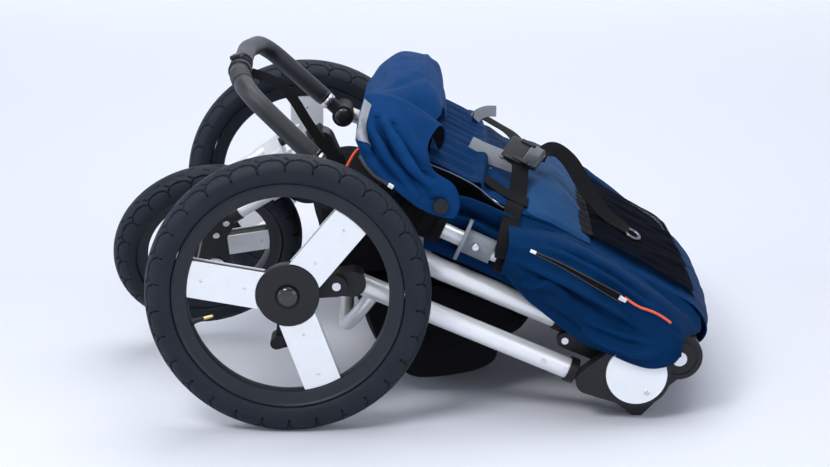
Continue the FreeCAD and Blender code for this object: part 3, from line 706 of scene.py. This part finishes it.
# net pocket, gathered by an elastic hem
nx, ny = 110, 130
xs = catmull([(252, 0, 0), (300, 0, 0), (350, 0, 0), (400, 0, 0), (417, 0, 0)], nx)[:, 0]
ys = np.linspace(-206, 206, ny)
g = np.zeros((nx, ny, 3))
for i, x in enumerate(xs):
    sag = 1 - smooth(395, 416, x)
    folds = 1.0 * np.sin(2 * np.pi * (ys - 0.35 * x) / 30) + 0.9 * np.sin(2 * np.pi * (ys + 0.2 * x) / 51 + 1.0)
    g[i, :, 0], g[i, :, 1] = x, ys * (1 - 0.04 * smooth(380, 416, x))
    g[i, :, 2] = back(x, ys, 4.5) + (folds * 0.8 + 4.0) * sag + 6 * sag * smooth(255, 290, x)
g = metres(g)
g = ripple(g[:, ::-1], 18, 0.0022, 5.0, (0.5, 1.6, 1))
pocket = cloth("net_pocket", g, "net", "handle_frame", 0.0008)
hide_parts("back_pocket")
hem = [P(250, y, float(back(250, y, 9.0)) + 1.0 * math.sin(y / 4.2)) for y in np.linspace(-210, 208, 200)]
ribbon("pocket_elastic", hem, Vector((1, 0, -0.45)), 0.018, "webbing_black", "handle_frame", 0.003, 5, 0.001)

# canopy: one sheet from the near hem over the side ridge, the crown and down the far side
near = [
    [(-70, -282, 384), (-63, -286, 370), (-51, -289, 356), (-27, -292, 340), (-9, -294, 326), (8, -294, 313),
     (28, -293, 303), (46, -292, 298), (57, -290, 297)],
    [(-71, -280, 392), (-49, -287, 372), (-22, -291, 354), (8, -294, 335), (39, -293, 318), (65, -291, 313)],
    [(-74, -277, 399), (-52, -284, 386), (-26, -288, 372), (2, -291, 360), (32, -291, 350), (58, -290, 341)],
    [(-76, -272, 404), (-55, -278, 398), (-36, -281, 392), (-15, -282, 384), (8, -281, 376), (28, -281, 363)],
    [(-74, -262, 422), (-55, -268, 418), (-36, -271, 412), (-14, -272, 404), (6, -270, 394), (21, -266, 386)],
    [(-69, -240, 441), (-50, -246, 437), (-27, -250, 430), (-5, -250, 422), (14, -248, 412), (26, -248, 402)],
    [(-64, -214, 454), (-44, -217, 450), (-22, -222, 442), (0, -226, 433), (20, -228, 423), (38, -226, 413)],
    [(-64, -200, 454), (-44, -200, 450), (-20, -203, 442), (4, -208, 431), (26, -210, 419), (46, -212, 405)],
    [(-64, -188, 451), (-44, -186, 447), (-20, -188, 438), (4, -192, 424), (26, -196, 402), (46, -201, 385)],
    [(-65, -176, 448), (-44, -173, 446), (-18, -172, 439), (6, -174, 425), (22, -178, 400), (38, -188, 370)],
    [(-65, -162, 442), (-44, -160, 444), (-18, -158, 443), (6, -156, 434), (22, -156, 418), (32, -160, 400)],
    [(-66, -136, 430), (-46, -134, 443), (-17, -134, 449), (10, -134, 444), (30, -136, 430), (42, -140, 410)],
    [(-66, -106, 424), (-46, -104, 442), (-16, -104, 453), (10, -104, 451), (31, -106, 439), (45, -110, 414)],
]
crown = [(-68, 0, 412), (-47, 0, 440), (-18, 0, 459), (6, 0, 459), (27, 0, 449), (45, 0, 422), (51, 0, 385)]
middle = [(-66, -60, 416), (-46, -58, 442), (-17, -56, 456), (8, -56, 456), (28, -58, 444), (45, -60, 418),
          (50, -60, 388)]
far_mid = [(-62, 70, 412), (-44, 72, 436), (-16, 74, 455), (10, 74, 454), (29, 74, 443), (45, 72, 418),
           (50, 70, 378)]
far = [
    [(-62, 130, 396), (-40, 134, 426), (-16, 136, 443), (8, 136, 441), (30, 136, 434), (44, 134, 418),
     (50, 132, 366)],
    [(-64, 190, 378), (-44, 196, 396), (-18, 200, 410), (8, 200, 408), (30, 198, 398), (44, 194, 382),
     (50, 190, 346)],
    [(-68, 236, 366), (-50, 244, 372), (-22, 250, 374), (6, 252, 366), (30, 250, 356), (46, 246, 344),
     (54, 242, 328)],
    [(-66, 268, 350), (-48, 276, 344), (-20, 282, 334), (10, 284, 324), (36, 282, 314), (52, 280, 308),
     (60, 276, 300)],
    [(-60, 280, 330), (-42, 288, 318), (-14, 292, 306), (18, 292, 294), (44, 290, 284), (58, 288, 282),
     (64, 286, 284)],
]
rails = M3(near + [middle, crown, far_mid] + far)
g = surface(rails, 120, 330)
folds = (
    (((-50, -246, 437), (-44, -264, 420), (-32, -274, 402), (-18, -283, 380), (2, -290, 352),
      (26, -293, 322)), 0.017, 0.0070),
    (((-28, -250, 430), (-20, -268, 412), (-6, -277, 390), (12, -284, 368), (34, -290, 345)), 0.012, 0.0060),
    (((-39, -246, 434), (-33, -266, 416), (-20, -278, 394), (-4, -286, 368), (18, -292, 340)), -0.007, 0.006),
    (((-6, -252, 420), (4, -264, 402), (14, -274, 384), (26, -282, 364)), -0.004, 0.005),
    (((-66, -254, 430), (-60, -274, 405), (-48, -284, 382), (-30, -290, 358), (-8, -293, 336)), 0.011, 0.0055),
    (((-73, -266, 416), (-66, -276, 398), (-54, -284, 382)), -0.005, 0.005),
    (((-60, -205, 455), (-40, -208, 449), (-15, -212, 439), (8, -215, 429), (30, -218, 417)), -0.003, 0.006),
    (((-64, -190, 452), (-44, -187, 448), (-18, -184, 442), (6, -182, 434), (24, -180, 426)), 0.0035, 0.0032),
    (((14, -150, 432), (20, -110, 444), (22, -60, 449), (22, 0, 452), (22, 60, 449), (24, 120, 440),
      (30, 170, 408)), -0.003, 0.0035),
    (((-52, -150, 442), (-20, -126, 449), (4, -100, 452), (14, -60, 456)), 0.0035, 0.011),
    (((-50, -120, 440), (-44, -60, 443), (-46, 20, 441)), 0.003, 0.010),
    (((10, -290, 330), (30, -292, 322), (50, -291, 326)), 0.004, 0.005),
)
for fold, depth, width in folds:
    g = crease(g, fold, 1.3 * depth, width)
g = ripple(g, 17, 0.0030, 11.0)
canopy_grid = g
# the canopy's inner face is black fabric: painted shade for the shadowed inside of the canopy
canopy = cloth("canopy_cover", g, "fabric_canopy", None, 0.002, shade_inside="fabric_black")
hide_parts("canopy_fabric", "canopy_sides")


def on_canopy(ob):
    """Bake a canopy piece's placement into its mesh; the piece rides on no body."""
    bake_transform(ob)


def hem_line(line, radius, mat, name):
    on_canopy(tube_mesh(name, catmull(line, 160), radius, mat, None, 8, 80.0))


hem_line([Vector(q) for q in g[-1, ::4]], 0.0014, "fabric_canopy", "canopy_hem_front")
hem_line([Vector(q) for q in g[0, ::4]], 0.0016, "fabric_canopy", "canopy_hem_left")
on_canopy(canopy)
rows = [v for v in range(canopy_grid.shape[1] // 2) if -0.272 < canopy_grid[0, v, 1] < -0.222]
out_side = normals(canopy_grid)
out_side = out_side if out_side[40, 200, 2] > 0 else -out_side
patch = (canopy_grid + out_side * 0.0022)[0:15, rows[0]:rows[-1]]
patch = cloth("canopy_reflector", patch, "reflector", None, 0.0008)
on_canopy(patch)


def seam(name, points):
    """A sewn seam laid on the canopy: the line's nearest surface points, evened out."""
    flat = canopy_grid.reshape(-1, 3)
    line = catmull([P(*p) for p in points], 90)
    nearest = np.array([flat[np.argmin(((flat - np.array(q)) ** 2).sum(1))] for q in line])
    kernel = np.ones(9) / 9
    even = np.stack([np.convolve(np.pad(nearest[:, k], 4, "edge"), kernel, "valid") for k in range(3)], 1)
    hem_line([Vector(q) for q in even[::3]], 0.0011, "fabric_blue", name)


seam("canopy_seam_base", ((-72, -262, 423), (-50, -254, 432), (-24, -256, 424), (4, -257, 413), (26, -256, 398)))
seam("canopy_seam_edge", ((0, -120, 455), (16, -160, 440), (24, -190, 424), (28, -215, 412), (34, -235, 404)))
seam("canopy_seam_crown", ((22, -150, 430), (22, -60, 450), (22, 40, 450), (24, 120, 440), (30, 180, 412)))

# side covers with a short zip: from the upper face's seam out over the handle tube and down to a loose hem
side_rails = [
    [(136, -229, 292), (170, -229, 278), (212, -229, 260), (250, -229, 238), (298, -229, 210), (347, -229, 181),
     (392, -229, 154), (413, -229, 132)],
    [(135, -243, 277), (171, -245, 264), (213, -245, 246), (252, -245, 223), (299, -245, 196), (346, -245, 167),
     (390, -245, 143), (413, -243, 119)],
    [(135, -258, 274), (172, -262, 268), (216, -265, 257), (257, -267, 238), (303, -269, 209), (347, -269, 177),
     (384, -266, 147), (404, -262, 118)],
    [(135, -272, 270), (175, -280, 266), (220, -286, 252), (262, -289, 233), (308, -290, 203), (344, -290, 174),
     (370, -290, 146), (386, -287, 122)],
    [(135, -285, 262), (176, -294, 252), (220, -298, 234), (260, -300, 213), (304, -300, 183), (338, -300, 158),
     (364, -298, 136), (380, -300, 119)],
    [(134, -289, 254), (176, -299, 243), (220, -303, 226), (258, -304, 206), (301, -303, 177), (336, -303, 152),
     (362, -303, 131), (378, -306, 116)],
    [(132, -289, 244), (174, -297, 226), (216, -302, 206), (256, -305, 185), (297, -306, 158), (334, -307, 137),
     (361, -308, 121), (377, -308, 112)],
    [(130, -286, 234), (172, -294, 204), (214, -301, 178), (254, -306, 154), (295, -311, 131), (335, -312, 115),
     (363, -310, 107), (377, -309, 106)],
    [(128, -280, 226), (169, -286, 186), (210, -293, 154), (251, -302, 128), (293, -310, 110), (333, -312, 97),
     (363, -310, 95), (376, -308, 102)],
    [(126, -274, 214), (166, -278, 172), (207, -286, 138), (250, -295, 113), (291, -304, 97), (331, -308, 85),
     (361, -308, 89), (374, -307, 101)],
]
cover_folds = (
    (((150, -250, 276), (200, -254, 258), (250, -256, 230), (310, -257, 194), (370, -256, 156)), 0.006, 0.0055),
    (((176, -285, 259), (225, -291, 243), (270, -294, 220), (312, -294, 192), (348, -293, 163)), -0.003, 0.005),
    (((168, -291, 256), (215, -295, 241), (262, -297, 216), (310, -297, 184), (350, -297, 152)), 0.004, 0.004),
    (((130, -286, 240), (170, -298, 226), (214, -303, 208), (256, -306, 184), (306, -308, 150),
      (340, -308, 128)), 0.007, 0.0060),
    (((140, -288, 232), (180, -298, 214), (226, -304, 190), (270, -308, 162),
      (318, -311, 132)), -0.005, 0.0060),
    (((146, -280, 196), (166, -286, 200), (186, -292, 202), (206, -298, 192), (226, -303, 178)), 0.006, 0.0050),
    (((232, -300, 138), (262, -306, 124), (292, -311, 112), (324, -312, 104), (352, -311, 104)), 0.007, 0.0055),
    (((236, -304, 156), (270, -308, 142), (306, -311, 128), (340, -311, 118)), 0.004, 0.0050),
    (((170, -286, 178), (206, -292, 152), (244, -300, 130), (284, -308, 112)), -0.003, 0.0050),
    (((150, -238, 280), (200, -238, 262), (250, -238, 236), (320, -238, 194),
      (380, -238, 158)), -0.002, 0.0035),
)
for side, tag in SIDES:
    g = surface(M3(side_rails), 160, 150)
    for fold, depth, width in cover_folds:
        g = crease(g, fold, (2.1 if depth > 0 else 1.6) * depth, width)
    g = ripple(g, 20, 0.0030, 21.0 + side, (0.6, 1, 1.4))
    low = g[:, -1]
    if side > 0:
        g = mirror(g)
    cover = cloth("side_cover_" + tag, g, "fabric_blue", "handle_frame", 0.002)
    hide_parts("side_flap_" + tag)
    flip = np.array((1, -side, 1))
    tube_mesh("side_cover_hem_" + tag, low * flip, 0.0019, "fabric_blue", "handle_frame", 8, 80)
    zip_points = ((168, -300.5, 250), (206, -305, 233), (247, -306.5, 210), (291, -305.5, 184))
    zip_line = catmull([P(*p) for p in zip_points], 24) * flip
    ribbon("zip_gap_" + tag, zip_line, Vector((0, 0, 1)), np.linspace(0.0026, 0.0125, 240), "fabric_black",
           "handle_frame", 0.0016, 5, 0.0006)
    for k, share in ((1, 0.5), (2, -0.5)):
        edge = [Vector(q) + Vector((0, side * 0.0008, share * (0.003 + 0.0095 * n / 23)))
                for n, q in enumerate(zip_line)]
        tube_mesh(f"zip_teeth_{tag}_{k}", catmull(edge, 90), 0.0009, "zip_teeth", "handle_frame", 8, 80)
    block("zip_stop_" + tag, P(168, side * 302.5, 251), (0.009, 0.0045, 0.0034),
          ((0.9, 0, -0.4), (0.4, 0, 0.9), (0, 1, 0)), 0.001, "hub_white", "handle_frame")
    block("zip_slider_" + tag, P(293, side * 307.5, 184), (0.012, 0.008, 0.005),
          ((0.85, 0, -0.5), (0.5, 0, 0.85), (0, 1, 0)), 0.0012, "steel", "handle_frame", 0.8)

# skirt between the canopy and the side covers: soft rolls above the handle tube, then down to the front leg
# the black upper sheet is painted shade: dark fabric put where the gap between the canopy's rim and the skirt lies in
# shadow
painted_shade_rails = [
    [(16, -229, 362), (60, -229, 343), (92, -229, 325), (120, -229, 301), (144, -229, 286)],
    [(16, -216, 350), (58, -214, 328), (90, -213, 310), (118, -216, 288), (143, -220, 276)],
    [(16, -206, 330), (57, -204, 308), (88, -204, 292), (117, -210, 276), (142, -216, 268)],
    [(16, -218, 312), (56, -218, 304), (87, -222, 296), (116, -228, 282), (142, -232, 270)],
]
skirt_rails = [
    [(16, -216, 314), (56, -216, 306), (87, -220, 298), (116, -226, 286), (142, -230, 276)],
    [(18, -228, 322), (57, -233, 315), (89, -238, 309), (118, -241, 296), (143, -241, 284)],
    [(18, -231, 310), (57, -235, 303), (88, -238, 296), (117, -239, 282), (143, -240, 270)],
    [(18, -222, 298), (56, -223, 289), (87, -224, 278), (116, -226, 265), (143, -230, 254)],
    [(18, -234, 292), (55, -239, 287), (88, -244, 277), (118, -246, 262), (146, -248, 247)],
    [(17, -232, 280), (54, -236, 272), (88, -240, 262), (120, -243, 246), (152, -247, 230)],
    [(17, -223, 262), (54, -225, 250), (90, -228, 236), (128, -234, 218), (166, -242, 202)],
    [(17, -228, 248), (54, -232, 236), (92, -236, 222), (134, -244, 203), (182, -256, 182)],
    [(17, -226, 236), (54, -229, 221), (93, -234, 205), (140, -242, 184), (200, -258, 160)],
]


def sleeve(name, a, b, radius, narrowed):
    """A padded sleeve over the handle tube from a to b, drawn in at both ends."""
    radius = [radius[0] - narrowed, *radius[1:-1], radius[-1] - narrowed]
    path = [a.lerp(b, k / (len(radius) - 1)) for k in range(len(radius))]
    tube_mesh(name, path, radius, "fabric_black", "handle_frame", 40, 70)


for side, tag in SIDES:
    for part, rails, across, mat, seed in (("painted_shade", painted_shade_rails, 50, "fabric_black", 27.0),
                                           ("skirt", skirt_rails, 120, "fabric_blue", 31.0)):
        g = surface(M3(rails), 110, across)
        if part == "skirt":
            g = crease(g, ((30, -230, 262), (80, -236, 244), (130, -244, 220), (176, -250, 190)), 0.005, 0.006)
            g = crease(g, ((90, -238, 262), (120, -241, 244), (150, -246, 226)), -0.004, 0.005)
        g = ripple(g, 22, 0.0026, seed, (0.6, 1, 1.3))
        if side > 0:
            g = mirror(g)
        cloth(f"seat_{part}_{tag}", g, mat, "handle_frame", 0.002)
    piping = [P(x, side * 230, z) for x, z in ((16, 362), (60, 343), (92, 325), (120, 301), (142, 288))]
    tube_mesh("seat_piping_" + tag, catmull(piping, 120), 0.0009, "piping_grey", "handle_frame", 10, 80.0)
    radius = [0.0215 + 0.0016 * math.sin(k * 0.55) + 0.0012 * math.sin(k * 1.3 + 1) for k in range(60)]
    sleeve("tube_sleeve_" + tag, P(44, side * 244.5, 266), P(-72, side * 230, 317), radius, 0.005)
    radius = [0.0220 + 0.0010 * math.sin(k * 0.9 + side) for k in range(24)]
    sleeve("tube_cuff_" + tag, P(121, side * 254, 232), P(152, side * 258, 218.5), radius, 0.004)

# straps over the seat back
def on_back(x, y, lift):
    return P(x, y, float(back(x, y, lift)))


ribbon("buckle_strap", [P(158, -128, 331), P(156, -150, 318), on_back(153, -172, 6), on_back(150, -198, 4),
                        P(144, -226, 294), P(139, -246, 280), P(134, -268, 270), P(130, -283, 255),
                        P(127, -286, 236)], Vector((1, 0, -0.4)), 0.025)
ribbon("cross_strap", [on_back(104, -196, 5), on_back(126, -197, 6), on_back(148, -198, 7), on_back(166, -199, 6)],
       Vector((0.1, 1, 0.25)), 0.026)
flat_side = Vector((0.12, 0.10, 1))
ribbon("grey_handle", [P(84, -114, 358), P(100, -115, 350), P(114, -115, 344), P(129, -115, 338),
                       P(150, -115, 330)], flat_side, 0.027, "webbing_grey", "handle_frame", 0.0018, 7, 0.001)
ribbon("grey_loop", [P(97, 58, 358), P(104, 59, 365), P(116, 60, 369), P(130, 60, 369)], flat_side, 0.017,
       "webbing_grey")
ribbon("grey_loop_stem", [P(97, 58, 336), P(97, 58, 348), P(98, 59, 360), P(100, 60, 368)], Vector((1, 0.3, 0)),
       0.010, "fabric_blue")
strap = ribbon("back_strap_webbing", [P(186, -86, 326), P(198, -70, 337), P(214, -62, 338), P(234, -66, 322),
                                      P(250, -82, 298), P(268, -100, 272), P(288, -112, 250), P(306, -118, 238),
                                      P(318, -120, 230)],
               [(0.3, 1, 0.5), (0.45, 0.8, 0.5), (0.6, 0.5, 0.6), (0.8, 0.3, 0.5), (0.8, 0.4, 0.4), (0.7, 0.6, 0.3),
                (0.5, 0.8, 0.2), (0.4, 0.9, 0.1), (0.4, 0.9, 0.1)], 0.024)
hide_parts("back_strap")
ribbon("back_strap_far", [P(108, 150, 343), P(130, 110, 338), P(150, 60, 336), P(160, 0, 336), P(162, -60, 335)],
       Vector((1, 0.3, -0.2)), 0.02)

# side-release buckle: socket, plug and its two spring arms
buckle_axes = ((0.66, -0.34, -0.26), (0.42, 0.60, 0.66), (-0.1, -0.7, 0.7))
socket = block("buckle_socket", P(154, -110, 346), (0.034, 0.040, 0.017), buckle_axes, 0.004,
               "buckle_black", "handle_frame", 0.92)
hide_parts("strap_buckle")
# the plug's lighter teal-black colour is a painted highlight on the black buckle
block("buckle_plug", P(177, -121, 340), (0.024, 0.038, 0.015), buckle_axes, 0.0035, "buckle_painted_highlight",
      "handle_frame", 0.86)
block("buckle_bar", P(141, -106, 351), (0.006, 0.040, 0.010), buckle_axes, 0.0016, "slider_grey",
      "handle_frame")
for k in (-1, 1):
    arm = Vector(buckle_axes[1]).normalized() * 0.0150 * k + Vector(buckle_axes[2]).normalized() * 0.002
    block(f"buckle_arm_{'ab'[k > 0]}", P(165, -115, 344) + arm, (0.024, 0.006, 0.015),
          buckle_axes, 0.0018, "buckle_black", "handle_frame")

# black hanging basket, footwell and seat base, sagging between the front legs
def shell(name, outline, half, bulge, seed, ripple_height=0.004, taper=0.16):
    """A closed bag lofted across the stroller: its side outline shrinks towards both ends and sags between them."""
    ring = catmull([(x, 0, z) for x, z in outline + outline[:1]], 121)[:-1]
    centre = ring.mean(0)
    stations = np.linspace(-1, 1, 61)
    g = np.zeros((len(ring), len(stations), 3))
    for j, s in enumerate(stations):
        k = (1 - taper * abs(s) ** 4) * (1 - (0.55 if abs(s) == 1 else 0))
        q = centre + (ring - centre) * k
        low = np.clip((centre[2] - ring[:, 2]) / 60, 0, 1)
        g[:, j] = q - np.array((0, 0, 1)) * (bulge * (1 - s * s) * low)[:, None]
        g[:, j, 1] = s * half
    g = metres(g)
    ext = np.concatenate([g[-3:], g, g[:3]])
    ext = ripple(ext, 18, ripple_height, seed, (1, 0.8, 1))
    g = ext[3:-3]
    n = g.shape[1]
    verts = g.reshape(-1, 3)
    faces = [tuple(reversed(f)) for f in grid_faces(g.shape[0], n, True, False)]
    faces += [tuple(i * n for i in range(g.shape[0])), tuple(i * n + n - 1 for i in reversed(range(g.shape[0])))]
    u = np.arange(g.shape[0])[:, None] * 0.004 + np.zeros(n)[None, :]
    v = np.zeros(g.shape[0])[:, None] + g[0, :, 1][None, :]
    return piece(name, verts, faces, "fabric_black", "frame", 60.0, np.stack([u, v], 2).reshape(-1, 2))


outline = [(-98, 168), (-60, 176), (-28, 184), (60, 172), (178, 120), (152, 86), (134, 66), (128, 44), (104, 29),
           (64, 20), (27, 16), (-8, 20), (-36, 40), (-54, 64), (-66, 90), (-75, 120), (-84, 146)]
basket = shell("hanging_basket", outline, 198, 5, 41)
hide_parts("basket")
outline = [(-150, 296), (-145, 262), (-137, 228), (-134, 202), (-112, 180), (-80, 170), (-40, 166), (-14, 176),
           (-8, 220), (-14, 268), (-50, 290), (-100, 300)]
shell("footwell_fabric", outline, 188, 0, 53, 0.005, 0.34)
outline = [(292, 98), (288, 122), (180, 172), (64, 221), (58, 206), (62, 192), (170, 144)]
base = shell("seat_base_cover", outline, 206, 4, 47, 0.003)
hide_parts("seat_base")

# canopy details: snap, zip with its stop
snap = [(0.0112, -0.003), (0.0112, 0.001), (0.0104, 0.0028), (0.0072, 0.0034), (0.0062, 0.0026), (0.004, 0.0030),
        (1e-5, 0.0034)]
on_canopy(lathe("canopy_snap", snap, Matrix.Translation(P(40, -298.5, 315)) @ facing(-1), "buckle_black", None, 40,
                50, False))
on_canopy(ribbon("canopy_zip", [P(-72, -288, 385), P(-63, -293, 371), P(-51, -296, 358), P(-38, -298, 350),
                                P(-31, -299, 346)], Vector((0.5, 0, 0.8)), 0.0038, "zip_teeth", None, 0.0016, 5,
                 0.0006))
block("canopy_zip_stop", P(-29, -300, 344.5), (0.008, 0.006, 0.004), ((0.8, 0, -0.5), (0.5, 0, 0.8), (0, 1, 0)),
      0.0012, "hub_white", "handle_frame")

# handlebar: ribs at the foam's near end, a wrapped webbing loop with its keeper, two bands and a cap at each joint
def ring(name, centre, axis, radius, width, edge, mat, body):
    turn_to = Vector((0, 1, 0)).rotation_difference(Vector(axis)).to_matrix().to_4x4()
    half = width / 2
    profile = [(radius - 2 * edge, -half), (radius - edge, -half), (radius, -half + edge), (radius, half - edge),
               (radius - edge, half), (radius - 2 * edge, half)]
    return lathe(name, profile, Matrix.Translation(centre) @ turn_to, mat, body, 48, 50)


crown_point, run = Vector((-250, -88, 460)), Vector((17, -94, -8)).normalized()
for k in range(9):
    at = P(*(crown_point + run * (17 + 4.6 * k)))
    ring(f"grip_rib_{k}", at, run, 0.0156, 0.0028, 0.0009, "grip_foam", "handlebar")
ring("grip_wrap_wide", P(-250, -52, 460), (0, 1, 0), 0.0165, 0.026, 0.0012, "webbing_black", "handlebar")
ring("grip_wrap_edge", P(-249.5, -76, 460), (0.06, 1, 0.03), 0.0170, 0.010, 0.0016, "buckle_black", "handlebar")
ring("grip_wrap_narrow", P(-250, -26, 460), (0, 1, 0), 0.0158, 0.012, 0.0008, "webbing_black", "handlebar")
block("grip_keeper", P(-256, -46, 476), (0.022, 0.016, 0.006), ((0.2, 1, 0), (1, -0.2, 0.3), (0, 0, 1)), 0.0016,
      "hub_black", "handlebar")
foam_end = Vector((-140, 199, 363))
stub = Vector((-108, 202, 332)) - foam_end
bands = ((0.24, 0.0128, 0.010, "steel"), (0.06, 0.0136, 0.006, "hub_gloss"))
for side, tag in SIDES:
    flip = Vector((1, side, 1))
    for k, (share, radius, width, mat) in enumerate(bands):
        at = (foam_end + stub * share) * flip
        ring(f"grip_band_{tag}_{k}", P(*at), stub * flip, radius, width, 0.0008, mat, "handlebar")
    dome("joint_cap_" + tag, Matrix.Translation(P(-108, side * 188, 332)) @ facing(-side), 0.0125, 0.0035,
         "hub_gloss", "handlebar", 40)

# a screw in each fold slider and a small one in each hub disc
slider_screw = [(0.0052, -0.006), (0.0052, 0.001), (0.0046, 0.0022), (0.0022, 0.0026), (0.0018, 0.0014),
                (1e-5, 0.0014)]
disc_screw = [(0.0040, -0.001), (0.0040, 0.0006), (0.0032, 0.0013), (0.0016, 0.0014), (0.0013, 0.0006),
              (1e-5, 0.0006)]
low, high = (Vector(corner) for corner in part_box("hub_discs"))
for side, tag in SIDES:
    place = Matrix.Translation(P(89, side * 272.5, 249)) @ facing(side)
    lathe("slider_screw_" + tag, slider_screw, place, "steel", "slider_" + tag, 32, 40, False)
for side, tag in SIDES:
    face = low.y if side < 0 else high.y
    place = Matrix.Translation(((low.x + high.x) / 2 + 0.015, face, (low.z + high.z) / 2 - 0.026)) @ facing(side)
    lathe("disc_screw_" + tag, disc_screw, place, "steel", "frame", 32, 40, False)


# ---------------------------------------------------------------- cords
def route_curve(name, route):
    """The cord's NURBS route, in metres."""
    curve = bpy.data.curves.new(name, "CURVE")
    curve.dimensions = "3D"
    spline = curve.splines.new("NURBS")
    spline.points.add(len(route) - 1)
    for point, q in zip(spline.points, route):
        point.co = (*P(*q), 1.0)
    spline.order_u = 3
    spline.use_endpoint_u = True
    curve.resolution_u = 12
    return bpy.data.objects.new(name, curve)


CORD_DIAMETER = 0.0036


def pull(name, route, body, node_name):
    """A short round pull cord with filled end caps, in place of its hidden CAD node."""
    ob = route_curve(name, route)
    ob.data.bevel_depth = CORD_DIAMETER / 2
    ob.data.bevel_resolution = 4
    ob.data.use_fill_caps = True
    ob.data.materials.append(M["cord_orange"])
    LINK(ob)
    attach(ob, body)
    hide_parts(node_name)


pull("flap_pull_cord", [(296, -307, 186), (312, -310, 174), (332, -311.5, 168), (348, -310, 160), (361, -307, 149)],
     "handle_frame", "flap_pull")
pull("canopy_pull_cord", [(-65, -275, 398), (-75, -276, 391), (-83, -276, 380), (-90, -275, 366)], "canopy",
     "canopy_pull")

# wrist strap: flat webbing along its route
STRAP_WIDTH = 0.015
strap_route = [(-238, -20, 446), (-214, -34, 442), (-190, -46, 432), (-171, -50, 409), (-156, -51, 382),
               (-139, -51, 356), (-124, -52, 332), (-112, -54, 309)]
bare = route_curve("wrist_route", strap_route)
line = bpy.data.meshes.new_from_object(bare)
strap_line = [Vector(v.co) for v in line.vertices]
bpy.data.meshes.remove(line)
bpy.data.curves.remove(bare.data)
wrist = ribbon("wrist_strap_webbing", strap_line, Vector((0.80, 0.35, 0.62)), STRAP_WIDTH, "webbing_black",
               "handle_frame", 0.0016)
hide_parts("wrist_strap")


# ---------------------------------------------------------------- floor: a wide round bowl with a raised edge
floor_material = bpy.data.materials.new("floor")
floor_material.use_nodes = True
shader = floor_material.node_tree.nodes["Principled BSDF"]
shader.inputs["Base Color"].default_value = (0.615, 0.630, 0.690, 1)
shader.inputs["Emission Color"].default_value = (0.88, 0.93, 1.0, 1)
shader.inputs["Roughness"].default_value = 0.6
shader.inputs["Specular IOR Level"].default_value = 0.2
# it glows more and more behind the object and far away from it, as a lit backdrop does
tree = floor_material.node_tree
link = tree.links.new
place = node(tree, "ShaderNodeTexCoord")
apart = node(tree, "ShaderNodeSeparateXYZ")
behind = node(tree, "ShaderNodeMapRange", in_From_Min=0.4, in_From_Max=3.4, in_To_Min=0.0, in_To_Max=0.52)
away = node(tree, "ShaderNodeVectorMath", operation="LENGTH")
around = node(tree, "ShaderNodeMapRange", in_From_Min=1.2, in_From_Max=5.5, in_To_Min=0.0, in_To_Max=0.56)
far_glow = node(tree, "ShaderNodeMath", operation="MAXIMUM")
link(place.outputs["Object"], apart.inputs["Vector"])
link(apart.outputs["Y"], behind.inputs["Value"])
link(place.outputs["Object"], away.inputs[0])
link(away.outputs["Value"], around.inputs["Value"])
link(behind.outputs["Result"], far_glow.inputs[0])
link(around.outputs["Result"], far_glow.inputs[1])
link(far_glow.outputs["Value"], shader.inputs["Emission Strength"])
floor_mesh = bpy.data.meshes.new("floor")
AROUND = 96
rim = [(11 + 3 * math.sin(t), 3 - 3 * math.cos(t)) for t in np.linspace(0.1, 1.5, 12)]
bowl = [(11, 0), *rim, (14, 7)]
turns = np.linspace(0, 2 * math.pi, AROUND, endpoint=False)
verts = [(r * math.cos(t), r * math.sin(t), z) for r, z in bowl for t in turns] + [(0, 0, 0)]
faces = [(n, (n + 1) % AROUND, len(verts) - 1) for n in range(AROUND)]
faces += [(a + n, a + AROUND + n, a + AROUND + (n + 1) % AROUND, a + (n + 1) % AROUND)
          for a in range(0, AROUND * (len(bowl) - 1), AROUND) for n in range(AROUND)]
floor_mesh.from_pydata(verts, [], faces)
for polygon in floor_mesh.polygons:
    polygon.use_smooth = True
floor_mesh.materials.append(floor_material)
floor = bpy.data.objects.new("floor", floor_mesh)
LINK(floor)
